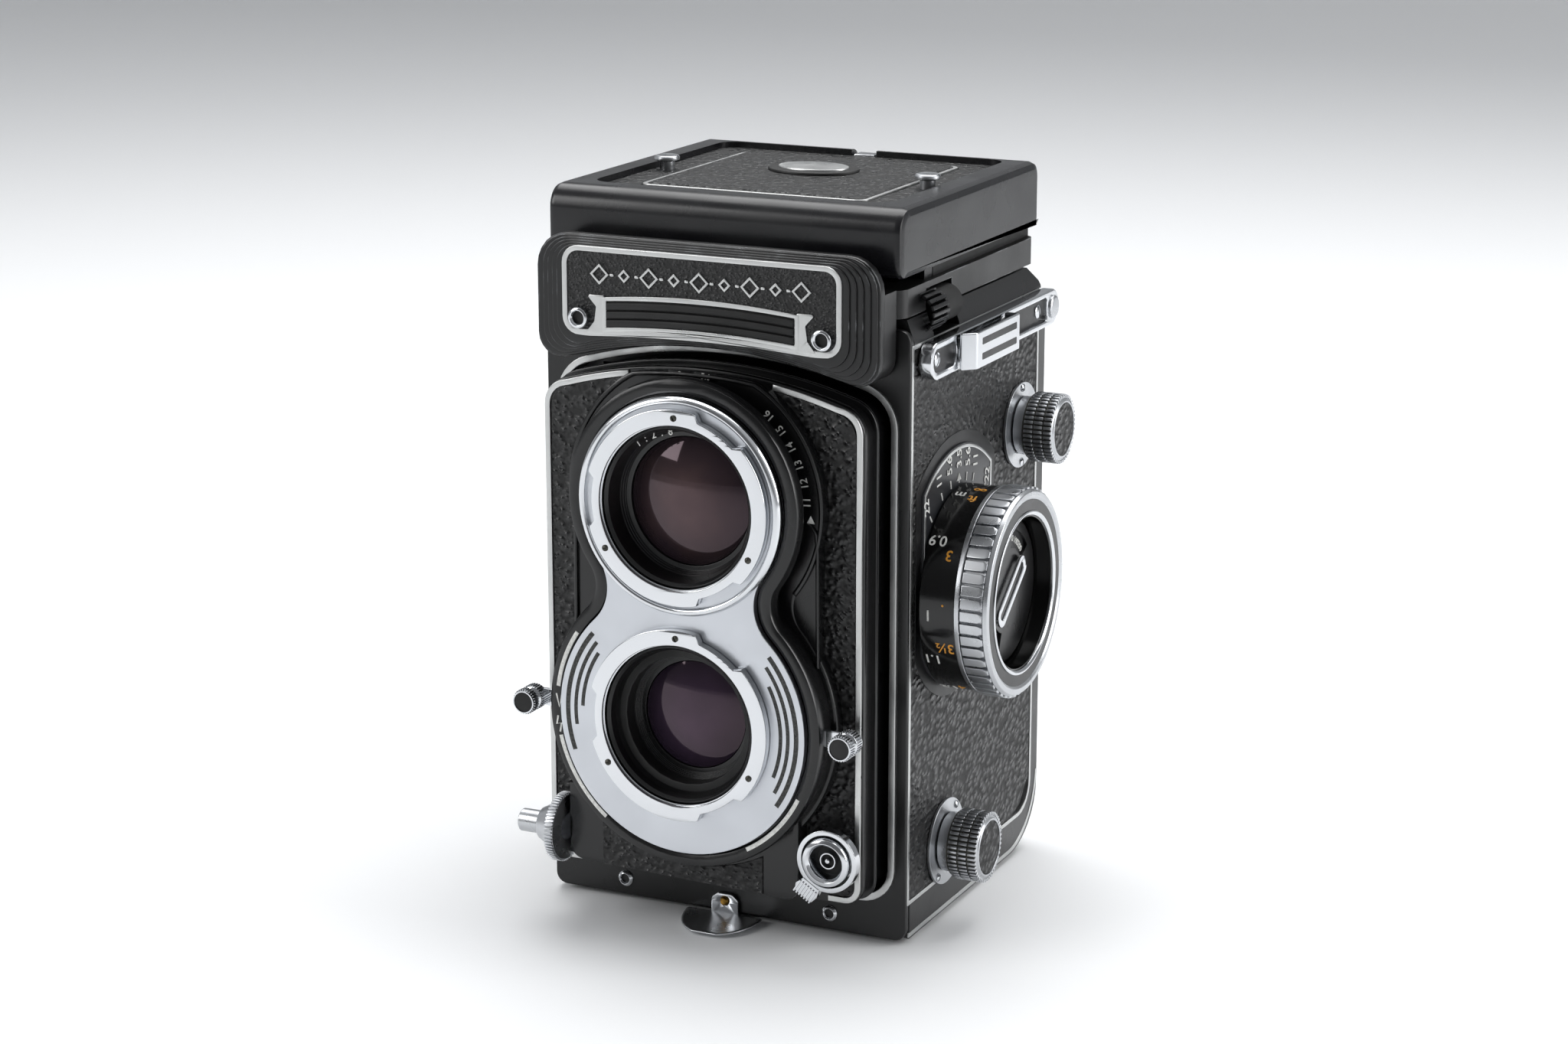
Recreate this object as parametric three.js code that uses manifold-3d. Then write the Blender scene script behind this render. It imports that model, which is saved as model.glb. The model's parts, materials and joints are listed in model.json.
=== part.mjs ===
// A twin lens reflex camera for square pictures on roll film.
//
// Millimetres, +Z up. The camera faces -Y and its focus knob is on +X. The model stands on its feet at
// Z = 0, and X = Y = 0 is the centre of the space that it fills. Two planes carry every other place:
// FRONT is the front of the lens bayonets, and AXIS is the height of the taking-lens axis.

import * as THREE from 'three';
import { mergeVertices } from 'three/addons/utils/BufferGeometryUtils.js';
import Module from 'manifold-3d';

const wasm = await Module();
wasm.setup();

// ---- driving dimensions ----

const DEPTH = 88.8;             // bayonet fronts to the back of the rear door
const FRONT = -DEPTH / 2;
const AXIS = 45.2;              // taking-lens axis above the ground
const LENS_SPACING = 42;        // taking-lens axis to viewing-lens axis
const VIEW = AXIS + LENS_SPACING;
const GAP = 0.3;                // clearance between separate pieces

const HALF_WIDTH = 38.05;       // camera body without its knobs
const KNOB_REACH = 52.8;        // farthest point of the focus knob and of the crank
const BODY_FRONT = FRONT + 20.95;
const BODY_REAR = FRONT + DEPTH;
const BASE = AXIS - 44.15;
const SHOULDER_TOP = AXIS + 76.4;

const BOARD_FACE = FRONT + 11.3;
const BOARD_HALF = 33.4;
const BOARD_LOW = AXIS - 34.5;
const BOARD_HIGH = AXIS + 66.3;
const BOARD_ARCH = 98;          // radius of the arch over the lens board

const TAKING_RIM = 28.4;        // radii of the two black lens housings
const VIEWING_RIM = 23.9;
const TAKING_PLATE = 25.65;     // radii of the bright face plate
const VIEWING_PLATE = 20.8;
const BAYONET_BORE = 15.7;
const BAYONET_OUTER = 18.7;

const FOCUS_Y = FRONT + 43.1;
const FOCUS_Z = AXIS + 21.4;
const FOCUS_R = 20.3;
const CRANK_Y = FRONT + 47;
const CRANK_Z = AXIS + 22;
const TAKEUP_Y = FRONT + 75.2;  // upper film spool
const TAKEUP_Z = AXIS + 46.1;
const SUPPLY_Y = FRONT + 39.4;  // lower film spool
const SUPPLY_Z = AXIS - 29.4;
const SPOOL_R = 12;
const SPOOL_HALF = 31.2;

const LID_PIVOT_Y = FRONT + 26;
const LID_PIVOT_Z = AXIS + 90.4;
const LID_NOSE = 6.6;            // radius of the lid's rolled front edge
const LID_REAR = FRONT + 88;
const LID_HALF = 36.6;
const LID_LOW = AXIS + 83.8;
const FLAP_HINGE_X = 33.5;
const FLAP_HINGE_Z = AXIS + 83.6;
const FLAP_REAR_Y = FRONT + 81;

// ---- solids ----

function solid(geometry) {
  geometry.deleteAttribute('normal');
  geometry.deleteAttribute('uv');
  const merged = mergeVertices(geometry, 1e-4);
  const position = merged.attributes.position;
  const index = merged.index.array;
  const corner = [new THREE.Vector3(), new THREE.Vector3(), new THREE.Vector3()];
  const triangles = [];
  let volume = 0;
  for (let i = 0; i < index.length; i += 3) {
    const [a, b, c] = [index[i], index[i + 1], index[i + 2]];
    if (a !== b && b !== c && c !== a) {
      triangles.push(a, b, c);
      corner.forEach((v, k) => v.fromBufferAttribute(position, index[i + k]));
      volume += corner[0].dot(corner[1].cross(corner[2]));
    }
  }
  if (volume < 0) {
    triangles.reverse();
  }
  return new wasm.Manifold(new wasm.Mesh({
    numProp: 3,
    vertProperties: Float32Array.from(position.array),
    triVerts: Uint32Array.from(triangles),
  }));
}

function join(first, ...others) {
  return others.reduce((sum, piece) => sum.add(piece), first);
}

function cut(first, ...others) {
  return others.reduce((rest, piece) => rest.subtract(piece), first);
}

function box(x0, x1, y0, y1, z0, z1) {
  const geometry = new THREE.BoxGeometry(x1 - x0, y1 - y0, z1 - z0);
  geometry.translate((x0 + x1) / 2, (y0 + y1) / 2, (z0 + z1) / 2);
  return solid(geometry);
}

function outline(points) {
  return new THREE.Shape(points.map(([u, v]) => new THREE.Vector2(u, v)));
}

function extrude(shape, depth, curveSegments) {
  return new THREE.ExtrudeGeometry(shape, { depth, bevelEnabled: false, curveSegments });
}

// A (Y, Z) outline carried along X from x0 to x1.
function prismX(shape, x0, x1, segments = 6) {
  const geometry = extrude(shape, x1 - x0, segments);
  const turn = new THREE.Matrix4().makeBasis(
    new THREE.Vector3(0, 1, 0), new THREE.Vector3(0, 0, 1), new THREE.Vector3(1, 0, 0));
  geometry.applyMatrix4(turn);
  geometry.translate(x0, 0, 0);
  return solid(geometry);
}

// An (X, Z) outline carried along Y from y0 to y1.
function prismY(shape, y0, y1, segments = 5) {
  const geometry = extrude(shape, y1 - y0, segments);
  geometry.rotateX(Math.PI / 2);
  geometry.translate(0, y1, 0);
  return solid(geometry);
}

// An (X, Y) outline carried along Z from z0 to z1.
function prismZ(shape, z0, z1, segments = 6) {
  const geometry = extrude(shape, z1 - z0, segments);
  geometry.translate(0, 0, z0);
  return solid(geometry);
}

// A piece turned about an axis along X through (y, z). The profile holds [radius, x] pairs.
function turnX(profile, y, z, segments = 32) {
  const geometry = new THREE.LatheGeometry(profile.map(([r, x]) => new THREE.Vector2(r, x)), segments);
  geometry.rotateZ(-Math.PI / 2);
  geometry.translate(0, y, z);
  return solid(geometry);
}

// A piece turned about an axis along Y through (x, z). The profile holds [radius, y] pairs.
function turnY(profile, x, z, segments = 32) {
  const geometry = new THREE.LatheGeometry(profile.map(([r, y]) => new THREE.Vector2(r, y)), segments);
  geometry.translate(x, 0, z);
  return solid(geometry);
}

// A piece turned about an axis along Z through (x, y). The profile holds [radius, z] pairs.
function turnZ(profile, x, y, segments = 24) {
  const geometry = new THREE.LatheGeometry(profile.map(([r, z]) => new THREE.Vector2(r, z)), segments);
  geometry.rotateX(Math.PI / 2);
  geometry.translate(x, y, 0);
  return solid(geometry);
}

function rodX(radius, x0, x1, y, z, segments = 24) {
  return turnX([[0, x0], [radius, x0], [radius, x1], [0, x1]], y, z, segments);
}

function rodY(radius, y0, y1, x, z, segments = 32) {
  return turnY([[0, y0], [radius, y0], [radius, y1], [0, y1]], x, z, segments);
}

function roundedRect(u0, u1, v0, v1, radius) {
  const quarter = Math.PI / 2;
  const shape = new THREE.Shape();
  shape.absarc(u1 - radius, v0 + radius, radius, -quarter, 0);
  shape.absarc(u1 - radius, v1 - radius, radius, 0, quarter);
  shape.absarc(u0 + radius, v1 - radius, radius, quarter, 2 * quarter);
  shape.absarc(u0 + radius, v0 + radius, radius, 2 * quarter, 3 * quarter);
  return shape;
}

// A panel outline with straight sides, rounded corners and an arched top. grow widens it all round.
function archedPanel(grow, lowRadius = 4, highRadius = 6) {
  const half = BOARD_HALF + grow;
  const low = BOARD_LOW - grow;
  const archRadius = BOARD_ARCH + grow;
  const archCentre = BOARD_HIGH - BOARD_ARCH;
  const inner = half - highRadius;
  const cornerZ = archCentre + Math.sqrt((archRadius - highRadius) ** 2 - inner ** 2);
  const reach = Math.asin(inner / (archRadius - highRadius));
  const quarter = Math.PI / 2;
  const shape = new THREE.Shape();
  shape.absarc(half - lowRadius, low + lowRadius, lowRadius, -quarter, 0);
  shape.absarc(inner, cornerZ, highRadius, 0, quarter - reach);
  shape.absarc(0, archCentre, archRadius, quarter - reach, quarter + reach);
  shape.absarc(-inner, cornerZ, highRadius, quarter + reach, 2 * quarter);
  shape.absarc(-half + lowRadius, low + lowRadius, lowRadius, 2 * quarter, 3 * quarter);
  return shape;
}

// Two discs joined by a waist, carried along Y from y0 to y1.
function figureEight(lowRadius, highRadius, waist, y0, y1) {
  const reach = 10;
  const neck = outline([
    [-lowRadius * 0.72, AXIS + lowRadius * 0.68], [lowRadius * 0.72, AXIS + lowRadius * 0.68],
    [waist, AXIS + LENS_SPACING / 2 + reach * 0.35], [highRadius * 0.84, VIEW - highRadius * 0.5],
    [-highRadius * 0.84, VIEW - highRadius * 0.5], [-waist, AXIS + LENS_SPACING / 2 + reach * 0.35],
  ]);
  return join(
    rodY(lowRadius, y0, y1, 0, AXIS, 40), rodY(highRadius, y0, y1, 0, VIEW, 36), prismY(neck, y0, y1));
}

// ---- the assembly ----

const camera = new THREE.Group();

const finishes = {
  blackPaint: [0x1b1c1e, 0.4, 0.3],
  blackMetal: [0x101112, 0.5, 0.4],
  leatherette: [0x232426, 0.85, 0],
  chrome: [0xd5d7da, 0.18, 1],
  satinChrome: [0xc3c6ca, 0.38, 1],
  bareCasting: [0x8d9094, 0.5, 0.9],
  coatedGlass: [0x3d2a33, 0.06, 0],
  groundGlass: [0xd8dcda, 0.6, 0],
  mirrorGlass: [0xe4e8ea, 0.04, 1],
  brass: [0xb08d4a, 0.35, 1],
};

function add(name, finish, piece) {
  const { numProp, vertProperties, triVerts } = piece.getMesh();
  const geometry = new THREE.BufferGeometry();
  const flat = new Float32Array(triVerts.length * 3);
  triVerts.forEach((vertex, i) => {
    flat.set(vertProperties.subarray(vertex * numProp, vertex * numProp + 3), i * 3);
  });
  geometry.setAttribute('position', new THREE.BufferAttribute(flat, 3));
  geometry.computeVertexNormals();
  const [color, roughness, metalness] = finishes[finish];
  const mesh = new THREE.Mesh(geometry, new THREE.MeshStandardMaterial({ color, roughness, metalness }));
  mesh.name = name;
  camera.add(mesh);
}

// ---- body casting: mirror chamber above, light cone and two spool wells below ----

const CAST_HALF = 37.2;
const CAST_FRONT = BODY_FRONT + 1.95;
const CAST_REAR = FRONT + 84.5;
const CAST_LOW = AXIS - 36.7;
const SLEEVE_FRONT = FRONT + 15;
const POCKET_REAR = FRONT + 27;
const MIRROR_LINE = FRONT - AXIS + 8.4;  // y - z along the slope under the mirror

function slopePoint(z, lift = 0) {
  const rise = lift / Math.SQRT2;
  return [MIRROR_LINE + z - rise, z + rise];
}

function castingShell() {
  const side = outline([
    [CAST_FRONT, CAST_LOW], [FRONT + 71, CAST_LOW], [FRONT + 79, AXIS - 34], [FRONT + 83.3, AXIS - 29],
    [CAST_REAR, AXIS - 23], [CAST_REAR, AXIS + 71.5], [CAST_FRONT, AXIS + 71.5],
  ]);
  const shoulder = outline([
    [FRONT + 22.6, AXIS + 71.4], [FRONT + 86, AXIS + 71.8], [FRONT + 85.4, AXIS + 73.4],
    [FRONT + 81.7, SHOULDER_TOP], [FRONT + 22.6, SHOULDER_TOP],
  ]);
  const shoulderFace = outline([
    [-HALF_WIDTH, AXIS + 71.4], [HALF_WIDTH, AXIS + 71.4], [HALF_WIDTH, AXIS + 72.4],
    [36.6, SHOULDER_TOP], [-36.6, SHOULDER_TOP], [-HALF_WIDTH, AXIS + 72.4],
  ]);
  const top = prismX(shoulder, -HALF_WIDTH, HALF_WIDTH)
    .intersect(prismY(shoulderFace, FRONT + 22, FRONT + 87));
  const sleeve = prismY(archedPanel(-2.6), SLEEVE_FRONT, CAST_FRONT + 1);
  return join(prismX(side, -CAST_HALF, CAST_HALF), top, sleeve);
}

function castingHollows() {
  const pocket = cut(
    prismY(archedPanel(0.9), FRONT + 20, POCKET_REAR), prismY(archedPanel(-2.6), FRONT + 19, POCKET_REAR + 1));
  const frontChamber = prismY(archedPanel(-3.8, 3, 5), FRONT + 10, POCKET_REAR - 0.4);
  const mirrorChamber = prismX(outline([
    [FRONT + 25, AXIS + 17], slopePoint(AXIS + 17), slopePoint(AXIS + 66), [FRONT + 76, AXIS + 66],
    [FRONT + 76, AXIS + 80], [FRONT + 30, AXIS + 80], [FRONT + 30, AXIS + 62], [FRONT + 25, AXIS + 62],
  ]), -29, 29);
  const coneHalfWidth = 28.5;
  const cone = prismX(outline([
    [FRONT + 25, AXIS - 13.5], [FRONT + 31, AXIS - 13.5], [FRONT + 81, AXIS - coneHalfWidth],
    [FRONT + 90, AXIS - coneHalfWidth], [FRONT + 90, AXIS + coneHalfWidth],
    [FRONT + 81, AXIS + coneHalfWidth], [FRONT + 31, AXIS + 13.5], [FRONT + 25, AXIS + 13.5],
  ]), -coneHalfWidth, coneHalfWidth);
  const well = SPOOL_R + 0.5;
  const wellHalf = SPOOL_HALF + 0.5;
  const supplyWell = join(
    rodX(well, -wellHalf, wellHalf, SUPPLY_Y, SUPPLY_Z, 24),
    box(-wellHalf, wellHalf, SUPPLY_Y - well, SUPPLY_Y + well, CAST_LOW - 5, SUPPLY_Z),
    box(-wellHalf, wellHalf, SUPPLY_Y, FRONT + 90, CAST_LOW - 5, AXIS - 32));
  const takeupWell = join(
    rodX(well, -wellHalf, wellHalf, TAKEUP_Y, TAKEUP_Z, 24),
    box(-wellHalf, wellHalf, TAKEUP_Y, FRONT + 90, TAKEUP_Z - well, TAKEUP_Z + well));
  const shaftHoles = [
    rodX(3.4, 30, 40, FOCUS_Y, FOCUS_Z, 16),
    rodX(3.4, 25, 40, TAKEUP_Y, TAKEUP_Z, 16),
    rodX(3.4, 25, 40, SUPPLY_Y, SUPPLY_Z, 16),
    rodX(4.4, -40, -30, CRANK_Y, CRANK_Z, 16),
  ];
  return [pocket, frontChamber, mirrorChamber, cone, supplyWell, takeupWell, ...shaftHoles];
}

// The roller that frees the hood sits in a pocket cut through the shoulder and the hood base.
const CATCH_Y0 = FRONT + 36;
const CATCH_Y1 = FRONT + 43.4;
const CATCH_X = 35.5;
const CATCH_Z = AXIS + 76.4;
const CATCH_R = 4;

function catchPocket() {
  const r = CATCH_R + 0.4;
  return box(CATCH_X - r, 40, CATCH_Y0 - 4.4, CATCH_Y1 + 0.5, CATCH_Z - r, CATCH_Z + r);
}

add('body_casting', 'bareCasting', cut(castingShell(), ...castingHollows(), catchPocket()));

// ---- front cover: black plate with a bright raised frame round the lens-board opening ----

const FRAME_PROUD = 0.5;
const plate = prismY(roundedRect(-HALF_WIDTH, HALF_WIDTH, BASE, AXIS + 75, 2.5), BODY_FRONT, BODY_FRONT + 1.65);
const frameBand = prismY(archedPanel(2.5, 7, 9), BODY_FRONT - FRAME_PROUD, BODY_FRONT + 0.5);
const boardOpening = prismY(archedPanel(0.9, 5.5, 7), FRONT + 10, FRONT + 30);
add('front_cover', 'blackPaint', cut(join(plate, frameBand), boardOpening));

add('catch_pin', 'brass', rodY(0.9, BODY_FRONT - 1.5, BODY_FRONT - GAP, 0, AXIS - 41.6, 12));

// ---- side leatherettes, scale plate and spool bearing plates ----

const SKIN_IN = CAST_HALF + GAP;

function sideOutline() {
  return outline([
    [BODY_FRONT + 2, AXIS - 36.4], [FRONT + 70.8, AXIS - 36.4], [FRONT + 78.8, AXIS - 33.6],
    [FRONT + 83, AXIS - 28.8], [FRONT + 84.2, AXIS - 23], [FRONT + 84.2, AXIS + 71],
    [BODY_FRONT + 2, AXIS + 71],
  ]);
}

add('side_cover_right', 'leatherette', cut(
  prismX(sideOutline(), SKIN_IN, HALF_WIDTH),
  rodX(3.4, 36, 40, FOCUS_Y, FOCUS_Z, 16),
  rodX(3.4, 36, 40, TAKEUP_Y, TAKEUP_Z, 16),
  rodX(3.4, 36, 40, SUPPLY_Y, SUPPLY_Z, 16)));
add('side_cover_left', 'leatherette', cut(
  prismX(sideOutline(), -HALF_WIDTH, -SKIN_IN),
  rodX(4.4, -40, -36, CRANK_Y, CRANK_Z, 16)));

const PLATE_IN = HALF_WIDTH + GAP;
const PLATE_OUT = PLATE_IN + 0.4;

function scalePlate() {
  const half = 19.6;
  const arch = new THREE.Shape();
  arch.absarc(FOCUS_Y, FOCUS_Z + 8, half, 0, Math.PI);
  arch.absarc(FOCUS_Y, FOCUS_Z, half, Math.PI, 2 * Math.PI);
  return cut(prismX(arch, PLATE_IN, PLATE_OUT, 16), rodX(3.4, 38, 40, FOCUS_Y, FOCUS_Z, 16));
}

add('depth_scale_plate', 'blackPaint', scalePlate());

function spoolPlate(y, z) {
  return turnX([[6.3, PLATE_IN], [8.55, PLATE_IN], [8.55, PLATE_OUT], [6.3, PLATE_OUT], [6.3, PLATE_IN]], y, z);
}

add('spool_plate_upper', 'chrome', spoolPlate(TAKEUP_Y, TAKEUP_Z));
add('spool_plate_lower', 'chrome', spoolPlate(SUPPLY_Y, SUPPLY_Z));

// ---- film spools and the knobs that hold them ----

function filmSpool(y, z) {
  const end = SPOOL_HALF;
  const flange = 0.8;
  const core = 5.5;
  const socket = 3.6;
  return turnX([
    [0, -end + 6], [socket, -end + 6], [socket, -end], [SPOOL_R, -end], [SPOOL_R, -end + flange],
    [core, -end + flange], [core, end - flange], [SPOOL_R, end - flange], [SPOOL_R, end],
    [socket, end], [socket, end - 6], [0, end - 6],
  ], y, z, 20);
}

add('takeup_spool', 'blackMetal', filmSpool(TAKEUP_Y, TAKEUP_Z));
add('supply_spool', 'blackMetal', filmSpool(SUPPLY_Y, SUPPLY_Z));

const PULL_TIP = 27;            // how far in a spool knob's shaft reaches when home
const PULL_FACE = 47.4;

function spoolKnob(y, z) {
  const seat = PLATE_OUT + GAP;
  return turnX([
    [0, PULL_TIP], [2.9, PULL_TIP], [2.9, seat], [5.9, seat], [5.9, 41.2], [6.9, 41.5], [6.9, PULL_FACE - 0.3],
    [6.6, PULL_FACE], [0, PULL_FACE],
  ], y, z, 24);
}

add('spool_knob_upper', 'satinChrome', spoolKnob(TAKEUP_Y, TAKEUP_Z));
add('spool_knob_lower', 'satinChrome', spoolKnob(SUPPLY_Y, SUPPLY_Z));

// ---- focus knob with its distance drum and film-type dial ----

const DRUM_IN = PLATE_OUT + GAP;
const DIAL_FACE = KNOB_REACH - 3.8;
const DIAL_R = 14.4;

add('focus_knob', 'satinChrome', turnX([
  [0, 31.5], [3, 31.5], [3, DRUM_IN], [19.7, DRUM_IN], [19.7, 43.8], [20.1, 43.8], [20.1, 45.6],
  [19.6, 45.8], [19.6, 46.4], [FOCUS_R, 46.8], [FOCUS_R, 50.8], [19.5, KNOB_REACH], [15.6, KNOB_REACH],
  [14.8, KNOB_REACH - 0.7], [14.8, DIAL_FACE - 1.4], [0, DIAL_FACE - 1.4],
], FOCUS_Y, FOCUS_Z, 36));

function filmDial() {
  const disc = rodX(DIAL_R, DIAL_FACE - 1.1, DIAL_FACE, FOCUS_Y, FOCUS_Z, 32);
  const grip = box(DIAL_FACE - 0.4, DIAL_FACE + 2.6, FOCUS_Y - 0.6, FOCUS_Y + 0.6, FOCUS_Z - 9, FOCUS_Z + 9);
  return join(disc, grip);
}

add('film_dial', 'blackPaint', filmDial());

// ---- strap lugs with their raised clips ----

const LUG_LOW = AXIS + 64.7;
const LUG_HIGH = AXIS + 71.9;
const LUG_FRONT = FRONT + 23.8;
const LUG_REAR = FRONT + 88.6;
const LUG_OUT = 40.9;
const CLIP_OUT = 44;

function strapLug() {
  const radius = (LUG_HIGH - LUG_LOW) / 2 - 0.05;
  const bar = prismX(roundedRect(LUG_FRONT, LUG_REAR, LUG_LOW, LUG_HIGH, radius), PLATE_IN, LUG_OUT, 8);
  const inlay = prismX(roundedRect(LUG_FRONT + 2, LUG_REAR - 6, LUG_LOW + 1.3, LUG_HIGH - 1.3, 1.5), 40.2, 42, 6);
  return cut(bar, inlay);
}

function strapClip() {
  const y0 = FRONT + 36;
  const y1 = FRONT + 60;
  return prismX(roundedRect(y0, y1, LUG_LOW + 0.1, LUG_HIGH - 0.1, 1.4), LUG_OUT + GAP, CLIP_OUT, 5);
}

function mirrored(piece) {
  return piece.scale([-1, 1, 1]);
}

add('strap_lug_right', 'chrome', strapLug());
add('strap_lug_left', 'chrome', mirrored(strapLug()));
add('strap_clip_right', 'chrome', strapClip());
add('strap_clip_left', 'chrome', mirrored(strapClip()));

// ---- winding crank on the left side ----

const CRANK_THROW = 30;
const CRANK_ANGLE = THREE.MathUtils.degToRad(-60);  // stowed, pointing rearwards and down
const CRANK_END_Y = CRANK_Y + CRANK_THROW * Math.cos(CRANK_ANGLE);
const CRANK_END_Z = CRANK_Z + CRANK_THROW * Math.sin(CRANK_ANGLE);

add('crank_plate', 'blackPaint', turnX([
  [4.4, -PLATE_IN], [16, -PLATE_IN], [16, -40.4], [14.6, -41], [4.4, -41], [4.4, -PLATE_IN],
], CRANK_Y, CRANK_Z, 36));

function windingCrank() {
  const hub = turnX([[0, -33], [4, -33], [4, -41.3], [9, -41.3], [9, -45], [8.2, -45.8], [0, -45.8]],
    CRANK_Y, CRANK_Z, 28);
  const width = 3.4;
  const arm = new THREE.Shape();
  arm.absarc(0, 0, width * 1.5, Math.PI / 2, 3 * Math.PI / 2);
  arm.absarc(CRANK_THROW, 0, width, -Math.PI / 2, Math.PI / 2);
  const geometry = extrude(arm, 1.8, 8);
  geometry.rotateZ(CRANK_ANGLE);
  const turn = new THREE.Matrix4().makeBasis(
    new THREE.Vector3(0, 1, 0), new THREE.Vector3(0, 0, 1), new THREE.Vector3(1, 0, 0));
  geometry.applyMatrix4(turn);
  geometry.translate(-47, CRANK_Y, CRANK_Z);
  return join(hub, solid(geometry));
}

add('winding_crank', 'chrome', windingCrank());
add('crank_knob', 'blackMetal', turnX([
  [0, -KNOB_REACH], [2.6, -KNOB_REACH], [3.3, -KNOB_REACH + 0.9], [3.3, -47.6], [2.6, -47.3], [0, -47.3],
], CRANK_END_Y, CRANK_END_Z, 20));

// ---- mirror, focusing screen and hood base ----

const MIRROR_LOW = AXIS + 20;
const MIRROR_HIGH = AXIS + 63;

add('mirror', 'mirrorGlass', prismX(outline([
  slopePoint(MIRROR_LOW, 0.4), slopePoint(MIRROR_HIGH, 0.4), slopePoint(MIRROR_HIGH, 2),
  slopePoint(MIRROR_LOW, 2),
]), -28, 28));

const SCREEN_LOW = SHOULDER_TOP + GAP;
add('focusing_screen', 'groundGlass', box(-31.4, 31.4, FRONT + 28.6, FRONT + 78.4, SCREEN_LOW, SCREEN_LOW + 1.8));

const HOOD_BASE_TOP = AXIS + 82;
const EAR_IN = 34.2;
const EAR_OUT = 35.1;

function hoodBase() {
  const ring = cut(
    prismZ(roundedRect(-36.4, 36.4, FRONT + 21, FRONT + 86.4, 2.5), SHOULDER_TOP + GAP, HOOD_BASE_TOP, 5),
    box(-31.8, 31.8, FRONT + 28.2, FRONT + 78.8, AXIS + 70, AXIS + 90),
    catchPocket());
  const ears = [-1, 1].map((side) => {
    const x0 = Math.min(side * EAR_IN, side * EAR_OUT);
    const x1 = Math.max(side * EAR_IN, side * EAR_OUT);
    const post = box(x0, x1, FRONT + 33.8, FRONT + 37.4, HOOD_BASE_TOP - 1, LID_PIVOT_Z + 2.2);
    const reach = box(x0, x1, LID_PIVOT_Y, FRONT + 34.4, LID_PIVOT_Z - 1.4, LID_PIVOT_Z + 2.2);
    return join(post, reach, rodX(2.4, x0, x1, LID_PIVOT_Y, LID_PIVOT_Z, 16));
  });
  return join(ring, ...ears);
}

add('hood_base', 'blackPaint', hoodBase());

// ---- nameplate housing and the cover of the light-meter cells ----

const NAME_FACE = FRONT + 11;

function nameplateHousing() {
  const side = outline([
    [NAME_FACE, AXIS + 62], [NAME_FACE, AXIS + 89.3], [FRONT + 15.3, AXIS + 89.3],
    [FRONT + 15.3, AXIS + 83.2], [FRONT + 20.2, AXIS + 82.4], [FRONT + 20.2, AXIS + 62],
  ]);
  const face = prismY(roundedRect(-35.5, 35.5, AXIS + 64, AXIS + 89.3, 7), FRONT + 5, FRONT + 25, 6);
  const archClearance = prismY(archedPanel(3.3, 7, 9), FRONT + 5, FRONT + 25);
  const ends = [-1, 1].map((end) => {
    const x0 = Math.min(end * 29.6, end * 40);
    const x1 = Math.max(end * 29.6, end * 40);
    return box(x0, x1, FRONT + 5, NAME_FACE + 1.1, AXIS + 60, AXIS + 90);
  });
  return cut(prismX(side, -35.5, 35.5).intersect(face), archClearance, ...ends);
}

add('nameplate_housing', 'blackPaint', nameplateHousing());
add('meter_cell_cover', 'blackMetal', cut(
  box(-19, 19, NAME_FACE - 2, NAME_FACE - GAP, AXIS + 71.2, AXIS + 77.6),
  ...[73.2, 75.2].map((height) => box(-20, 20, NAME_FACE - 3, NAME_FACE - 1.4, AXIS + height, AXIS + height + 0.5))));

// ---- folding hood: lid, finder flap, three leaves and the magnifier ----

const RECESS_FLOOR = AXIS + 95.6;
const LID_TOP = AXIS + 97;
const LID_CEILING = AXIS + 94.2;
const FINDER_FRONT = FRONT + 31.8;
const FINDER_REAR = FRONT + 79;
const FINDER_HALF = 24;

function lidProfile(inset) {
  const nose = LID_NOSE - inset;
  const rear = 5.6 - inset;
  const low = LID_LOW - (inset > 0 ? 3 : 0);
  const foot = Math.asin(2.6 / LID_NOSE);
  const shape = new THREE.Shape();
  shape.absarc(LID_REAR - 5.6, LID_TOP - 5.6, rear, 0, Math.PI / 2);
  shape.absarc(LID_PIVOT_Y, LID_PIVOT_Z, nose, Math.PI / 2, 3 * Math.PI / 2 - foot);
  shape.lineTo(LID_PIVOT_Y - (nose * 2.6) / LID_NOSE, low);
  shape.lineTo(LID_REAR - inset, low);
  return shape;
}

function hoodLid() {
  const shell = prismX(lidProfile(0), -LID_HALF, LID_HALF, 7);
  const inside = prismX(lidProfile(1.2), -LID_HALF + 1.2, LID_HALF - 1.2, 7)
    .intersect(box(-40, 40, FRONT, FRONT + 90, AXIS + 70, LID_CEILING));
  const recess = prismZ(roundedRect(-31, 31, FRONT + 26.4, FRONT + 84.4, 3.5), RECESS_FLOOR, LID_TOP + 1, 4);
  const window = prismZ(roundedRect(-FINDER_HALF, FINDER_HALF, FINDER_FRONT, FINDER_REAR, 2.4),
    LID_CEILING - 1, LID_TOP + 1, 4);
  const fingerNotch = box(-2.6, 2.6, FRONT + 83, FRONT + 90, LID_CEILING + 0.6, LID_TOP + 1);
  const screwHoles = [-1, 1].map((side) => turnZ(
    [[0, LID_CEILING - 1], [1.3, LID_CEILING - 1], [1.3, LID_TOP], [0, LID_TOP]], side * STUD_X, STUD_Y, 10));
  return cut(shell, inside, recess, window, fingerNotch, ...screwHoles);
}

const STUD_X = 27.8;
const STUD_Y = FRONT + 52;

add('hood_lid', 'blackPaint', hoodLid());

[['lid_stud_left', -1], ['lid_stud_right', 1]].forEach(([name, side]) => {
  const head = RECESS_FLOOR + GAP;
  add(name, 'chrome', turnZ([
    [0, LID_CEILING], [1, LID_CEILING], [1, head], [2.5, head], [2.5, head + 2.5], [2.2, head + 2.8],
    [0, head + 2.8],
  ], side * STUD_X, STUD_Y, 20));
});

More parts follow.
